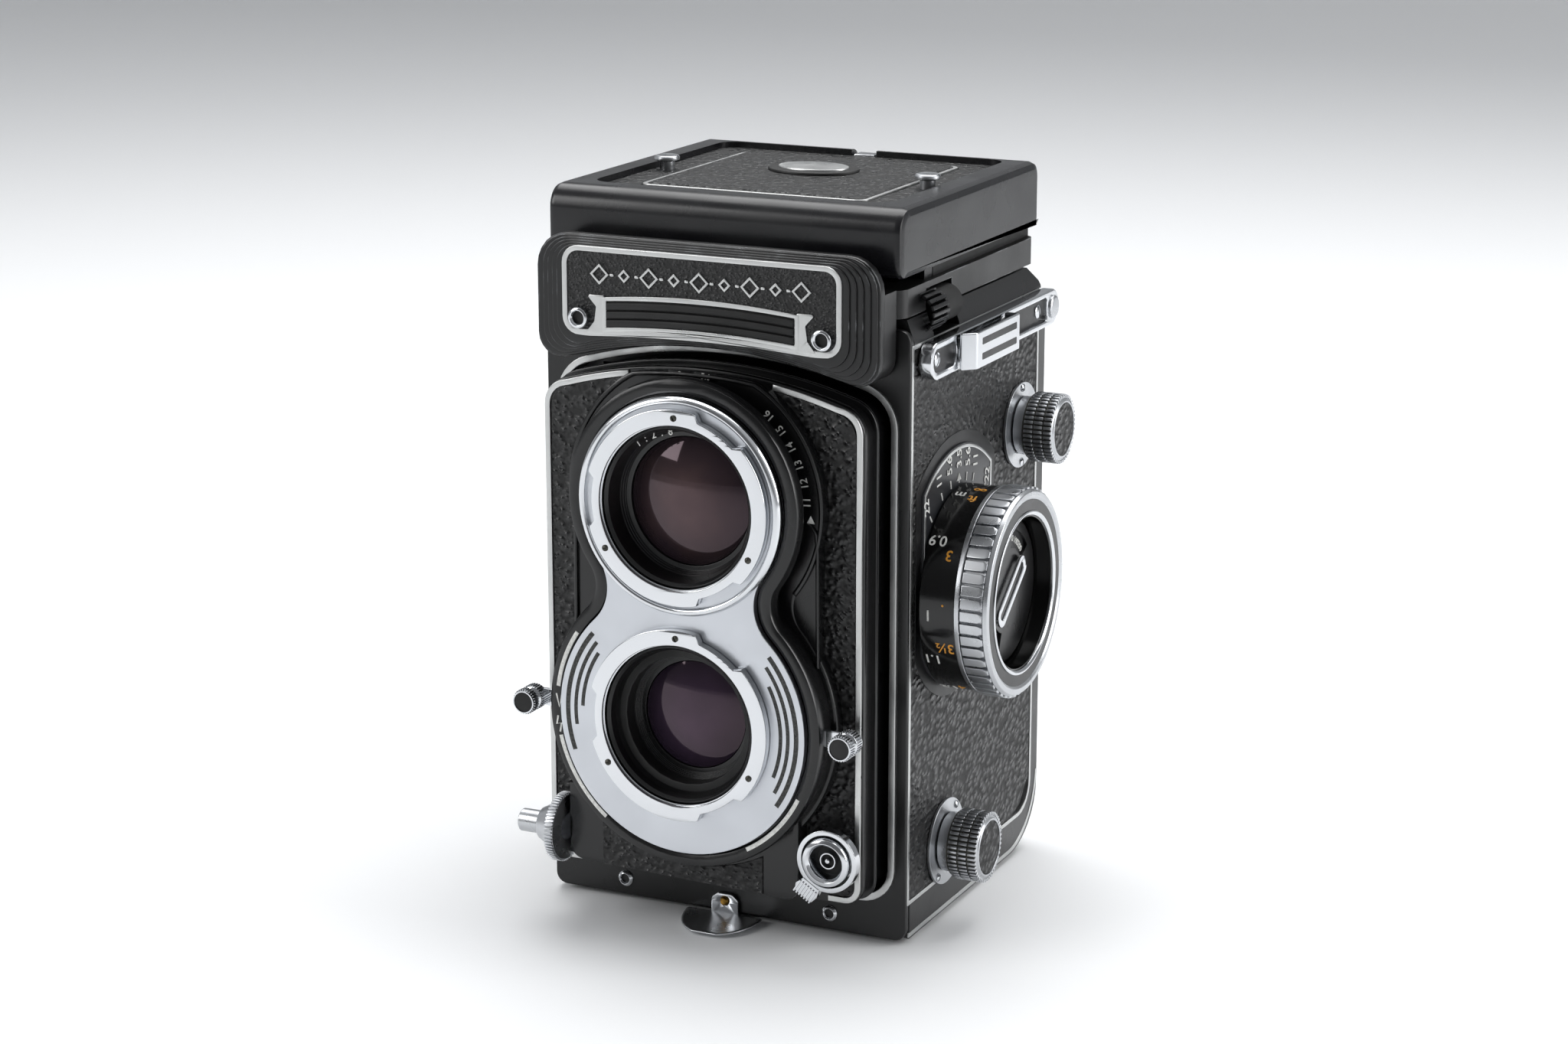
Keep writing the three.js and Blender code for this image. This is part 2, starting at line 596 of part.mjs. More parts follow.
function finderFlap() {
  const inset = 0.35;
  return prismZ(roundedRect(-FINDER_HALF + inset, FINDER_HALF - inset, FINDER_FRONT + inset,
    FINDER_REAR - inset, 2.1), LID_CEILING + 0.1, RECESS_FLOOR + 0.2, 4);
}

add('finder_flap', 'leatherette', finderFlap());

const LEAF = 0.8;
const LEAF_HIGH = 31;

function sideLeaf() {
  const across = FLAP_HINGE_X - LEAF_HIGH;
  const shape = outline([
    [-FLAP_HINGE_X, FRONT + 34], [-FLAP_HINGE_X, FLAP_REAR_Y - 3], [-across, FLAP_REAR_Y - 36],
    [-across, FRONT + 41], [-FLAP_HINGE_X + 22, FRONT + 34],
  ]);
  return prismZ(shape, FLAP_HINGE_Z - LEAF / 2, FLAP_HINGE_Z + LEAF / 2);
}

function rearLeaf() {
  const high = 27;
  const shape = outline([
    [-30, FLAP_REAR_Y], [30, FLAP_REAR_Y], [30 - high, FLAP_REAR_Y - high], [-30 + high, FLAP_REAR_Y - high],
  ]);
  return prismZ(shape, FLAP_HINGE_Z - LEAF / 2, FLAP_HINGE_Z + LEAF / 2);
}

add('hood_leaf_left', 'blackMetal', sideLeaf());
add('hood_leaf_right', 'blackMetal', mirrored(sideLeaf()));
add('hood_leaf_rear', 'blackMetal', rearLeaf());

const LOUPE_Y = FRONT + 60;
const LOUPE_R = 12.5;
const LOUPE_Z = AXIS + 89.6;

function magnifierFrame() {
  const low = LOUPE_Z - 2;
  const high = LOUPE_Z + 2;
  const ring = turnZ([[LOUPE_R, low], [LOUPE_R + 1.5, low], [LOUPE_R + 1.5, high], [LOUPE_R, high], [LOUPE_R, low]],
    0, LOUPE_Y, 32);
  const arm = box(-6, 6, LOUPE_Y + LOUPE_R + 0.6, FRONT + 81.5, LOUPE_Z - 0.8, LOUPE_Z + 0.8);
  return join(ring, arm);
}

add('magnifier_frame', 'blackMetal', magnifierFrame());
add('magnifier_lens', 'coatedGlass', turnZ([
  [0, LOUPE_Z - 1.9], [LOUPE_R * 0.6, LOUPE_Z - 1.5], [LOUPE_R - GAP, LOUPE_Z - 0.6],
  [LOUPE_R - GAP, LOUPE_Z + 0.6], [LOUPE_R * 0.6, LOUPE_Z + 1.5], [0, LOUPE_Z + 1.9],
], 0, LOUPE_Y, 28));

// ---- ribbed roller that frees the hood, on the right shoulder ----

function catchRoller() {
  const teeth = 18;
  const points = [];
  for (let i = 0; i < teeth * 2; i += 1) {
    const angle = (Math.PI * i) / teeth;
    const radius = i % 2 ? CATCH_R : CATCH_R - 0.5;
    points.push([CATCH_X + radius * Math.cos(angle), CATCH_Z + radius * Math.sin(angle)]);
  }
  return prismY(outline(points), CATCH_Y0, CATCH_Y1);
}

add('catch_roller', 'blackMetal', catchRoller());

// ---- rear door with its base, latch, pressure plate, tripod bush and feet ----

const DOOR_TOP = AXIS + 71.2;
const DOOR_IN = FRONT + 84.8;
const DOOR_SHELF = AXIS - 37;
const DOOR_FRONT = BODY_FRONT + 1.95;
const TRIPOD_Y = FRONT + 55;
const TRIPOD_R = 4.6;
const FOOT_X = 29;
const FOOT_FRONT_Y = FRONT + 27;
const FOOT_REAR_Y = FRONT + 76;

function rearDoor() {
  const quarter = Math.PI / 2;
  const corner = 15;
  const profile = new THREE.Shape();
  profile.absellipse(BODY_REAR - corner, BASE + corner * 0.8, corner, corner * 0.8, -quarter, 0);
  profile.lineTo(BODY_REAR, DOOR_TOP - 1.5);
  profile.lineTo(BODY_REAR - 1.5, DOOR_TOP);
  profile.lineTo(DOOR_IN, DOOR_TOP);
  profile.lineTo(DOOR_IN, AXIS - 23);
  profile.lineTo(FRONT + 83.6, AXIS - 29.2);
  profile.lineTo(FRONT + 79.2, AXIS - 34.3);
  profile.lineTo(FRONT + 71.1, DOOR_SHELF);
  profile.lineTo(DOOR_FRONT, DOOR_SHELF);
  profile.lineTo(DOOR_FRONT, BASE);
  const pocket = new THREE.Shape();
  pocket.absellipse(BODY_REAR - corner, BASE + corner * 0.8, corner - 1.4, corner * 0.8 - 1.5, -quarter, 0);
  pocket.lineTo(BODY_REAR - 1.4, DOOR_TOP - 3);
  pocket.lineTo(DOOR_IN - 20, DOOR_TOP - 3);
  pocket.lineTo(DOOR_IN - 20, AXIS - 20);
  pocket.lineTo(DOOR_FRONT + 1.4, AXIS - 20);
  pocket.lineTo(DOOR_FRONT + 1.4, BASE + 1.5);
  const shell = cut(prismX(profile, -HALF_WIDTH, HALF_WIDTH, 6), prismX(pocket, -36.4, 36.4, 6));
  const bushHole = turnZ([[0, BASE - 1], [8.3, BASE - 1], [8.3, BASE + 3], [0, BASE + 3]], 0, TRIPOD_Y, 24);
  return cut(shell, bushHole);
}

add('back_door', 'blackPaint', rearDoor());

add('tripod_bush', 'chrome', turnZ([
  [TRIPOD_R, 0.35], [9.6, 0.35], [9.6, BASE - GAP], [8, BASE - GAP], [8, BASE + 4.4], [TRIPOD_R, BASE + 4.4],
  [TRIPOD_R, 0.35],
], 0, TRIPOD_Y, 24));

function foot(name, x, y) {
  const top = BASE - GAP;
  add(name, 'chrome', turnZ([[0, 0], [2.4, 0], [3, top], [0, top]], x, y, 16));
}

foot('foot_front_left', -FOOT_X, FOOT_FRONT_Y);
foot('foot_front_right', FOOT_X, FOOT_FRONT_Y);
foot('foot_rear_left', -FOOT_X, FOOT_REAR_Y);
foot('foot_rear_right', FOOT_X, FOOT_REAR_Y);

const PRESSURE_Y = FRONT + 85.2;
add('pressure_plate', 'blackMetal', box(-30, 30, PRESSURE_Y, PRESSURE_Y + 1, AXIS - 29, AXIS + 29));

function latchLever() {
  const strap = box(-3, 3, BODY_FRONT - 0.9, BODY_FRONT - GAP, AXIS - 44.9, AXIS - 40.6);
  const pinHole = rodY(1.3, BODY_FRONT - 3, BODY_FRONT + 1, 0, AXIS - 41.6, 12);
  const spoon = new THREE.Shape();
  spoon.absarc(0, FRONT + 19, 8, Math.PI, 2 * Math.PI);
  const tongue = join(
    prismZ(spoon, 0.3, 0.9, 12),
    box(-8, 8, FRONT + 18.9, BODY_FRONT - GAP, 0.3, 0.9));
  return join(cut(strap, pinHole), tongue);
}

add('latch_lever', 'chrome', latchLever());

// ---- lens board, housing and face plate ----

const BOARD_BACK = BOARD_FACE + 1.7;
const SKIRT_REAR = FRONT + 26.6;
const HOUSING_FRONT = FRONT + 3.6;
const HOUSING_BACK = BOARD_FACE - GAP;
const SHUTTER_R = 21.5;

const RELEASE_Y = FRONT + 7.7;
const RELEASE_Z = AXIS - 26.5;
const RELEASE_TIP = -37.9;
const COLLAR_OUT = -29.5;
const COLLAR_IN = -27.7;
const COLLAR_R = 6.8;

function lensBoard() {
  const boardPlate = prismY(archedPanel(0), BOARD_FACE, BOARD_BACK);
  const skirt = cut(
    prismY(archedPanel(-0.6), BOARD_BACK - 0.5, SKIRT_REAR), prismY(archedPanel(-2), BOARD_BACK, SKIRT_REAR + 1));
  return cut(
    join(boardPlate, skirt),
    rodX(COLLAR_R + GAP, -BOARD_HALF - 1, COLLAR_IN + 1, RELEASE_Y, RELEASE_Z, 24),
    rodY(SHUTTER_R + GAP, FRONT, FRONT + 20, 0, AXIS, 28),
    rodY(BAYONET_BORE, FRONT, FRONT + 20, 0, VIEW, 28));
}

add('lens_board', 'blackPaint', lensBoard());

const SOCKET_X = 28.5;
const SOCKET_Z = AXIS - 24.2;
const SLOT_FRONT = FRONT + 5.3;
const SLOT_BACK = FRONT + 6.9;

function lensHousing() {
  const eight = figureEight(TAKING_RIM, VIEWING_RIM, 17, HOUSING_FRONT, HOUSING_BACK);
  const chin = prismY(roundedRect(-27.4, 22, AXIS - 34, AXIS - 14, 3), FRONT + 6, HOUSING_BACK, 5);
  const boss = rodY(5.6, FRONT + 8.2, HOUSING_BACK, SOCKET_X, SOCKET_Z, 24);
  const bridge = box(20, 27, FRONT + 8.2, HOUSING_BACK, AXIS - 29, AXIS - 16);
  const cheeks = [-1, 1].map((side) => {
    const cheek = outline([
      [side * 18, AXIS + 14], [side * 26.2, AXIS + 12], [side * 26.4, AXIS + 34], [side * 25, AXIS + 39],
      [side * 22, AXIS + 41], [side * 17, AXIS + 34],
    ]);
    return prismY(cheek, FRONT + 8, HOUSING_BACK);
  });
  const slot = cut(
    rodY(TAKING_RIM + 1, SLOT_FRONT, SLOT_BACK, 0, AXIS, 40),
    rodY(TAKING_RIM - 3, SLOT_FRONT - 1, SLOT_BACK + 1, 0, AXIS, 40),
    box(-40, 40, FRONT, FRONT + 12, AXIS + 16, AXIS + 40),
    box(-40, 40, FRONT, FRONT + 12, AXIS - 40, AXIS - 12));
  return cut(
    join(eight, chin, boss, bridge, ...cheeks),
    slot,
    rodY(SHUTTER_R + GAP, FRONT, FRONT + 20, 0, AXIS, 28),
    rodY(BAYONET_BORE, FRONT, FRONT + 20, 0, VIEW, 28));
}

add('lens_housing', 'blackPaint', lensHousing());

const PLATE_FACE = FRONT + 1.9;

function facePlate() {
  const eight = figureEight(TAKING_PLATE, VIEWING_PLATE, 15.3, PLATE_FACE, HOUSING_FRONT - GAP);
  const rim = turnY([
    [19.6, PLATE_FACE + 0.5], [19.6, FRONT + 1], [VIEWING_PLATE, FRONT + 1.4],
    [VIEWING_PLATE, PLATE_FACE + 0.5], [19.6, PLATE_FACE + 0.5],
  ], 0, VIEW, 36);
  return cut(
    join(eight, rim),
    rodY(BAYONET_BORE, FRONT - 1, FRONT + 20, 0, VIEW, 28),
    rodY(BAYONET_BORE, FRONT - 1, FRONT + 20, 0, AXIS, 28));
}

add('faceplate', 'satinChrome', facePlate());

// ---- lens bayonets, barrels, glasses and shutter ----

function bayonet(z) {
  const ring = turnY([
    [BAYONET_BORE, FRONT], [BAYONET_OUTER, FRONT], [BAYONET_OUTER, PLATE_FACE - GAP],
    [BAYONET_BORE, PLATE_FACE - GAP], [BAYONET_BORE, FRONT],
  ], 0, z, 36);
  const notches = [0, 1, 2].map((i) => {
    const angle = Math.PI / 6 + (2 * Math.PI * i) / 3;
    const notch = box(-4.5, 4.5, FRONT - 1, FRONT + 4, BAYONET_OUTER - 1.1, BAYONET_OUTER + 2);
    return notch.rotate([0, THREE.MathUtils.radToDeg(angle), 0]).translate([0, 0, z]);
  });
  return cut(ring, ...notches);
}

add('viewing_bayonet', 'chrome', bayonet(VIEW));
add('taking_bayonet', 'chrome', bayonet(AXIS));

const BARREL_FRONT = FRONT + 0.9;
const BARREL_R = BAYONET_BORE - GAP;

function barrel(z, glassRadius, glassEdge, rearRadius, rearEnd) {
  const step = FRONT + 3.6;
  return turnY([
    [glassRadius + GAP, glassEdge + 6], [glassRadius + GAP, glassEdge], [BARREL_R - 0.9, BARREL_FRONT + 0.6],
    [BARREL_R - 0.4, BARREL_FRONT], [BARREL_R, BARREL_FRONT], [BARREL_R, step], [rearRadius, step],
    [rearRadius, rearEnd], [glassRadius - 2, rearEnd], [glassRadius - 2, glassEdge + 6],
    [glassRadius + GAP, glassEdge + 6],
  ], 0, z, 30);
}

const VIEW_GLASS_R = 12.2;
const VIEW_GLASS_EDGE = FRONT + 6.9;
const TAKE_GLASS_R = 10.4;
const TAKE_GLASS_EDGE = FRONT + 8.5;

add('viewing_barrel', 'blackMetal', barrel(VIEW, VIEW_GLASS_R, VIEW_GLASS_EDGE, BARREL_R - GAP, FRONT + 20));
add('taking_barrel', 'blackMetal', barrel(AXIS, TAKE_GLASS_R, TAKE_GLASS_EDGE, 12.2, FRONT + 24));

function lensGlass(z, radius, edge, bulge) {
  const profile = [[0, edge + 5.5], [radius, edge + 5.5]];
  const sphere = (radius ** 2 + bulge ** 2) / (2 * bulge);
  const steps = 4;
  for (let i = 0; i <= steps; i += 1) {
    const r = radius * (1 - i / steps);
    profile.push([r, edge - (Math.sqrt(sphere ** 2 - r ** 2) - (sphere - bulge))]);
  }
  return turnY(profile, 0, z, 28);
}

add('viewing_glass', 'coatedGlass', lensGlass(VIEW, VIEW_GLASS_R, VIEW_GLASS_EDGE, 2.3));
add('taking_glass', 'coatedGlass', lensGlass(AXIS, TAKE_GLASS_R, TAKE_GLASS_EDGE, 1.6));

add('shutter_case', 'blackMetal', turnY([
  [12.5, FRONT + 4], [SHUTTER_R, FRONT + 4], [SHUTTER_R, FRONT + 16], [12.5, FRONT + 16], [12.5, FRONT + 4],
], 0, AXIS, 28));

// ---- exposure levers on both sides of the taking lens ----

const LEVER_REACH = 33.2;

function exposureLever() {
  const arm = box(TAKING_RIM - 2.4, LEVER_REACH, SLOT_FRONT + GAP, SLOT_BACK - GAP, AXIS - 2, AXIS + 2);
  const knob = turnY([
    [0, FRONT + 0.6], [1.9, FRONT + 0.6], [2.45, FRONT + 1.1], [2.45, FRONT + 5.9], [0, FRONT + 5.9],
  ], LEVER_REACH, AXIS, 16);
  return join(arm, knob);
}

add('exposure_lever_right', 'chrome', exposureLever());
add('exposure_lever_left', 'chrome', mirrored(exposureLever()));

// ---- shutter release and its locking collar ----

add('release_plunger', 'chrome', turnX([
  [0, RELEASE_TIP], [1.9, RELEASE_TIP], [2.3, RELEASE_TIP + 0.4], [2.3, -31], [0, -31],
], RELEASE_Y, RELEASE_Z, 20));

add('release_collar', 'satinChrome', turnX([
  [2.6, -33.2], [3.2, -33.2], [5, COLLAR_OUT - 0.2], [COLLAR_R, COLLAR_OUT], [COLLAR_R, COLLAR_IN],
  [2.6, COLLAR_IN], [2.6, -33.2],
], RELEASE_Y, RELEASE_Z, 24));

// ---- flash socket and its locking lever ----

add('flash_socket', 'chrome', turnY([
  [0, FRONT + 5.6], [0.9, FRONT + 5.6], [0.9, FRONT + 7], [3.6, FRONT + 7], [3.6, FRONT + 4.8],
  [4.1, FRONT + 4.4], [4.8, FRONT + 4.8], [4.8, FRONT + 7.9], [0, FRONT + 7.9],
], SOCKET_X, SOCKET_Z, 20));

function flashLockLever() {
  const y0 = FRONT + 5.4;
  const y1 = FRONT + 7.4;
  const ring = turnY([[5.1, y0], [6.1, y0], [6.1, y1], [5.1, y1], [5.1, y0]], SOCKET_X, SOCKET_Z, 32);
  const tab = box(-1.9, 1.9, y0, y1, -9, -5.7)
    .rotate([0, 33, 0])
    .translate([SOCKET_X, 0, SOCKET_Z]);
  return join(ring, tab);
}

add('flash_lock_lever', 'chrome', flashLockLever());

export default camera;
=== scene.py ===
import json
import math

import bmesh
import bpy
from mathutils import Matrix, Vector

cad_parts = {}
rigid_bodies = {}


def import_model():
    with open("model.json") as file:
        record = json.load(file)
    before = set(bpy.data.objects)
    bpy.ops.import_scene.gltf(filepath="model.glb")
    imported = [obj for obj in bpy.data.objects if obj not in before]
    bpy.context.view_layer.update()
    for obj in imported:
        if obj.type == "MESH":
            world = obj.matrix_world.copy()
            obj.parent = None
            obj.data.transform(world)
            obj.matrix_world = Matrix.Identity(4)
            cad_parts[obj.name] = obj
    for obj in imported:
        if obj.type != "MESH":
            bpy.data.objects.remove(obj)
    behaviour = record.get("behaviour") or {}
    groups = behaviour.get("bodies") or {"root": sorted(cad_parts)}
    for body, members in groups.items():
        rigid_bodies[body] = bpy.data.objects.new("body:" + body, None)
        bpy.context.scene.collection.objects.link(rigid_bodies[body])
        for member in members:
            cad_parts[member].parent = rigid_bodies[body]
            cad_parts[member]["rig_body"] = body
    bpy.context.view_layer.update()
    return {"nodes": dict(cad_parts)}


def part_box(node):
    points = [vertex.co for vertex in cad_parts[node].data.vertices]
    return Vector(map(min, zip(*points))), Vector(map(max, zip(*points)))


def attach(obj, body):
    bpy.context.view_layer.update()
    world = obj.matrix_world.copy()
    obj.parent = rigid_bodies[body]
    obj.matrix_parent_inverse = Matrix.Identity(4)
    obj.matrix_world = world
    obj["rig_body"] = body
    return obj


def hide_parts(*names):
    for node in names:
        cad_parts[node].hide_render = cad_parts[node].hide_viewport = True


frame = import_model()

# ---- the studio ----
# White paper sweeps up behind the piece. One wide soft box hangs overhead and one stands on each
# side, and the room is dim towards the viewer, so that polished metal keeps its dark lines. The view
# is of the front right edge, from a little above.

scene = bpy.context.scene
scene.view_settings.view_transform = "Standard"

camera_data = bpy.data.cameras.new("studio_camera")
camera_data.lens = 78.67
camera_data.sensor_width = 36
camera_data.clip_start = 0.02
camera = bpy.data.objects.new("studio_camera", camera_data)
camera.location = (0.280951, -0.586227, 0.244239)
camera.rotation_euler = (math.pi / 2 - 0.2557, 0, 0.4452)
scene.collection.objects.link(camera)
scene.camera = camera


def rgb(code):
    values = [int(code[i:i + 2], 16) / 255 for i in (0, 2, 4)]
    return [v / 12.92 if v <= 0.04045 else ((v + 0.055) / 1.055) ** 2.4 for v in values] + [1.0]


def add_node(tree, kind, settings=None, **inputs):
    """A node with its settings, and each input either a value or another node's output."""
    made = tree.nodes.new(kind)
    for key, value in (settings or {}).items():
        setattr(made, key, value)
    for key, value in inputs.items():
        socket = made.inputs[int(key[1:]) if key[1:].isdigit() else key.replace("_", " ")]
        if isinstance(value, bpy.types.NodeSocket):
            tree.links.new(value, socket)
        else:
            socket.default_value = value
    return made


def new_finish(name, colour, roughness, metallic=0.0):
    """A material with its plain values set, its tree, and its main shader."""
    material = bpy.data.materials.new(name)
    material.use_nodes = True
    shader = material.node_tree.nodes["Principled BSDF"]
    shader.inputs["Base Color"].default_value = rgb(colour)
    shader.inputs["Roughness"].default_value = roughness
    shader.inputs["Metallic"].default_value = metallic
    return material, material.node_tree, shader


room = bpy.data.worlds.new("white_room")
room.use_nodes = True
direction = add_node(room.node_tree, "ShaderNodeTexCoord").outputs["Generated"]
across = add_node(room.node_tree, "ShaderNodeSeparateXYZ", Vector=direction)
toward_rear = add_node(room.node_tree, "ShaderNodeMapRange", Value=across.outputs["Y"], From_Min=-0.9,
                       From_Max=0.7, To_Min=0.16, To_Max=0.8)
room.node_tree.links.new(toward_rear.outputs[0], room.node_tree.nodes["Background"].inputs["Strength"])
room.node_tree.nodes["Background"].inputs["Color"].default_value = rgb("f4f6f9")
scene.world = room


def soft_box(name, place, aim, width, height, watts):
    light = bpy.data.lights.new(name, "AREA")
    light.shape = "RECTANGLE"
    light.size = width
    light.size_y = height
    light.energy = watts
    lamp = bpy.data.objects.new(name, light)
    lamp.location = place
    lamp.rotation_euler = (Vector(aim) - Vector(place)).to_track_quat("-Z", "Y").to_euler()
    scene.collection.objects.link(lamp)


MIDDLE = (0, 0, 0.07)
soft_box("overhead", (-0.1, 0.35, 0.95), MIDDLE, 1.0, 0.8, 9)
soft_box("right_side", (0.95, 0.25, 0.45), MIDDLE, 0.5, 0.8, 6)
soft_box("left_front", (-0.75, -0.75, 0.6), MIDDLE, 0.5, 0.7, 5)

REACH = 6.0
SWEEP_START = 1.4
SWEEP = 1.2
profile = [(-REACH, 0)] + [(SWEEP_START + SWEEP * math.sin(t), SWEEP - SWEEP * math.cos(t))
                           for t in [math.pi / 2 * i / 16 for i in range(17)]] + [(SWEEP_START + SWEEP, 4)]
verts = [(x, y, z) for y, z in profile for x in (-REACH, REACH)]
faces = [(2 * i, 2 * i + 1, 2 * i + 3, 2 * i + 2) for i in range(len(profile) - 1)]
floor_mesh = bpy.data.meshes.new("studio_floor")
floor_mesh.from_pydata(verts, [], faces)
floor_mesh.shade_smooth()
floor = bpy.data.objects.new("studio_floor", floor_mesh)
scene.collection.objects.link(floor)
floor_mesh.materials.append(new_finish("backdrop_paper", "f6f7f8", 0.9)[0])

# ---- body casting and shoulder ----
# The chassis is one aluminium die casting, stove-enamelled black, with a bevelled shoulder that
# carries the hood. Its edges are broken by hand, so each has a small round.

MM = 0.001
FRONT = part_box("taking_bayonet")[0].y / MM
AXIS = (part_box("taking_bayonet")[0].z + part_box("taking_bayonet")[1].z) / 2 / MM
VIEW = (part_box("viewing_bayonet")[0].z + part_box("viewing_bayonet")[1].z) / 2 / MM
SPACING = VIEW - AXIS
HALF_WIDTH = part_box("front_cover")[1].x / MM
BODY_FRONT = FRONT + 20.95
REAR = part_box("back_door")[1].y / MM
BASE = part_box("back_door")[0].z / MM


def settle(piece, finish, body, stands_for=(), bevel=0.0, angle=32, merge=2e-6):
    """Rounds a piece's edges, evens its shading, makes its mesh final and hangs it on its body."""
    work = bmesh.new()
    work.from_mesh(piece.data)
    bmesh.ops.remove_doubles(work, verts=work.verts, dist=merge)
    bmesh.ops.recalc_face_normals(work, faces=work.faces)
    work.to_mesh(piece.data)
    work.free()
    piece.data.shade_smooth()
    if bevel:
        rounding = piece.modifiers.new("edges", "BEVEL")
        rounding.width = bevel * MM
        rounding.segments = 3
        rounding.limit_method = "ANGLE"
        rounding.angle_limit = math.radians(angle)
    else:
        piece.data.set_sharp_from_angle(angle=math.radians(angle))
    piece.modifiers.new("shading", "WEIGHTED_NORMAL").keep_sharp = True
    view_layer = bpy.context.view_layer
    view_layer.update()
    graph = bpy.context.evaluated_depsgraph_get()
    final = bpy.data.meshes.new_from_object(piece.evaluated_get(graph), depsgraph=graph)
    piece.modifiers.clear()
    piece.data = final
    final.materials.clear()
    final.materials.append(finish)
    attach(piece, body)
    if stands_for:
        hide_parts(*stands_for)
    return piece


def link(name, mesh):
    piece = bpy.data.objects.new(name, mesh)
    scene.collection.objects.link(piece)
    return piece


def refined(node, finish, bevel=0.25, angle=32):
    """A copy of a structural piece with merged faces and rounded edges, which stands for it."""
    mesh = frame["nodes"][node].data.copy()
    mesh.materials.clear()
    work = bmesh.new()
    work.from_mesh(mesh)
    bmesh.ops.remove_doubles(work, verts=work.verts, dist=1e-6)
    bmesh.ops.dissolve_limit(work, angle_limit=math.radians(1), verts=work.verts, edges=work.edges)
    work.to_mesh(mesh)
    work.free()
    mesh.validate()
    body = frame["nodes"][node]["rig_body"]
    return settle(link(node + "_finished", mesh), finish, body, [node], bevel, angle)


def object_place(tree):
    return add_node(tree, "ShaderNodeTexCoord").outputs["Object"]


def noise(tree, place, size_mm, detail=2.0):
    """Even noise whose lumps are about size_mm across."""
    return add_node(tree, "ShaderNodeTexNoise", Vector=place, Scale=1000 / size_mm,
                    Detail=detail).outputs["Fac"]


def between(tree, factor, low, high, start=0.3, end=0.7):
    """Takes factor from start..end to low..high."""
    return add_node(tree, "ShaderNodeMapRange", Value=factor, From_Min=start, From_Max=end,
                    To_Min=low, To_Max=high).outputs["Result"]


def bump(tree, height, depth_mm, normal=None):
    made = add_node(tree, "ShaderNodeBump", Height=height, Strength=1.0, Distance=depth_mm * MM)
    if normal:
        tree.links.new(normal, made.inputs["Normal"])
    return made.outputs["Normal"]


def worn_edges(tree, amount_mm, place):
    """1 on a sharp edge that hands have rubbed, 0 elsewhere, broken up by noise."""
    soft = add_node(tree, "ShaderNodeBevel", {"samples": 4}, Radius=amount_mm * MM).outputs["Normal"]
    hard = add_node(tree, "ShaderNodeNewGeometry").outputs["Normal"]
    turn = add_node(tree, "ShaderNodeVectorMath", {"operation": "DOT_PRODUCT"}, i0=soft,
                    i1=hard).outputs["Value"]
    edge = between(tree, turn, 1.0, 0.0, 0.86, 0.97)
    patch = between(tree, noise(tree, place, 5, 4), 0.0, 1.0, 0.5, 0.62)
    return add_node(tree, "ShaderNodeMath", {"operation": "MULTIPLY"}, i0=edge, i1=patch).outputs["Value"]


def enamel(name, colour, roughness, wear_mm=0.0):
    """Stoved black enamel: nearly black, a soft gloss that varies with handling, slight orange peel."""
    material, tree, shader = new_finish(name, colour, roughness)
    place = object_place(tree)
    cloudy = noise(tree, place, 14, 3)
    tree.links.new(between(tree, cloudy, roughness * 0.8, roughness * 1.25), shader.inputs["Roughness"])
    peel = noise(tree, place, 0.7, 1)
    tree.links.new(bump(tree, peel, 0.006), shader.inputs["Normal"])
    if wear_mm:
        worn = worn_edges(tree, wear_mm, place)
        tint = add_node(tree, "ShaderNodeMix", {"data_type": "RGBA"}, i0=worn, i6=rgb(colour),
                        i7=rgb("8c8f92"))
        tree.links.new(tint.outputs[2], shader.inputs["Base Color"])
    return material


BLACK_ENAMEL = enamel("stoved_black_enamel", "0c0c0d", 0.3)
WORN_ENAMEL = enamel("handled_black_enamel", "0d0d0e", 0.34, 0.35)
MATT_BLACK = enamel("matt_black_lacquer", "0b0b0b", 0.6)

refined("body_casting", BLACK_ENAMEL, 0.35)

# ---- front plate, bright frame, rivets ----
# A pressed plate closes the front of the casting. A thin frame of satin nickel is let in round the
# arched opening for the lens board, and two hollow rivets hold the plate at the bottom.


def arc(cu, cv, radius, start, end, steps=12):
    """Points on an arc, with angles in degrees."""
    turns = [math.radians(start + (end - start) * i / steps) for i in range(steps + 1)]
    return [(cu + radius * math.cos(t), cv + radius * math.sin(t)) for t in turns]


def rounded(points, radii, steps=6):
    """A closed outline with each corner rounded to its own radius."""
    out = []
    for i, corner in enumerate(points):
        radius = radii[i] if isinstance(radii, (list, tuple)) else radii
        here = Vector(corner)
        back = Vector(points[i - 1]) - here
        ahead = Vector(points[(i + 1) % len(points)]) - here
        half = back.angle(ahead) / 2
        if radius <= 0 or half > 1.55:
            out.append(tuple(corner))
            continue
        run = radius / math.tan(half)
        a = here + back.normalized() * run
        b = here + ahead.normalized() * run
        centre = here + (back.normalized() + ahead.normalized()).normalized() * (radius / math.sin(half))
        for k in range(steps + 1):
            point = centre + (a - centre).slerp(b - centre, k / steps).normalized() * radius
            out.append((point.x, point.y))
    return out


def rounded_box(u0, u1, v0, v1, radius):
    return rounded([(u0, v0), (u1, v0), (u1, v1), (u0, v1)], radius)


BOARD_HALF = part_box("lens_board")[1].x / MM
BOARD_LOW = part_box("lens_board")[0].z / MM
BOARD_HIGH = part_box("lens_board")[1].z / MM
BOARD_ARCH = 98


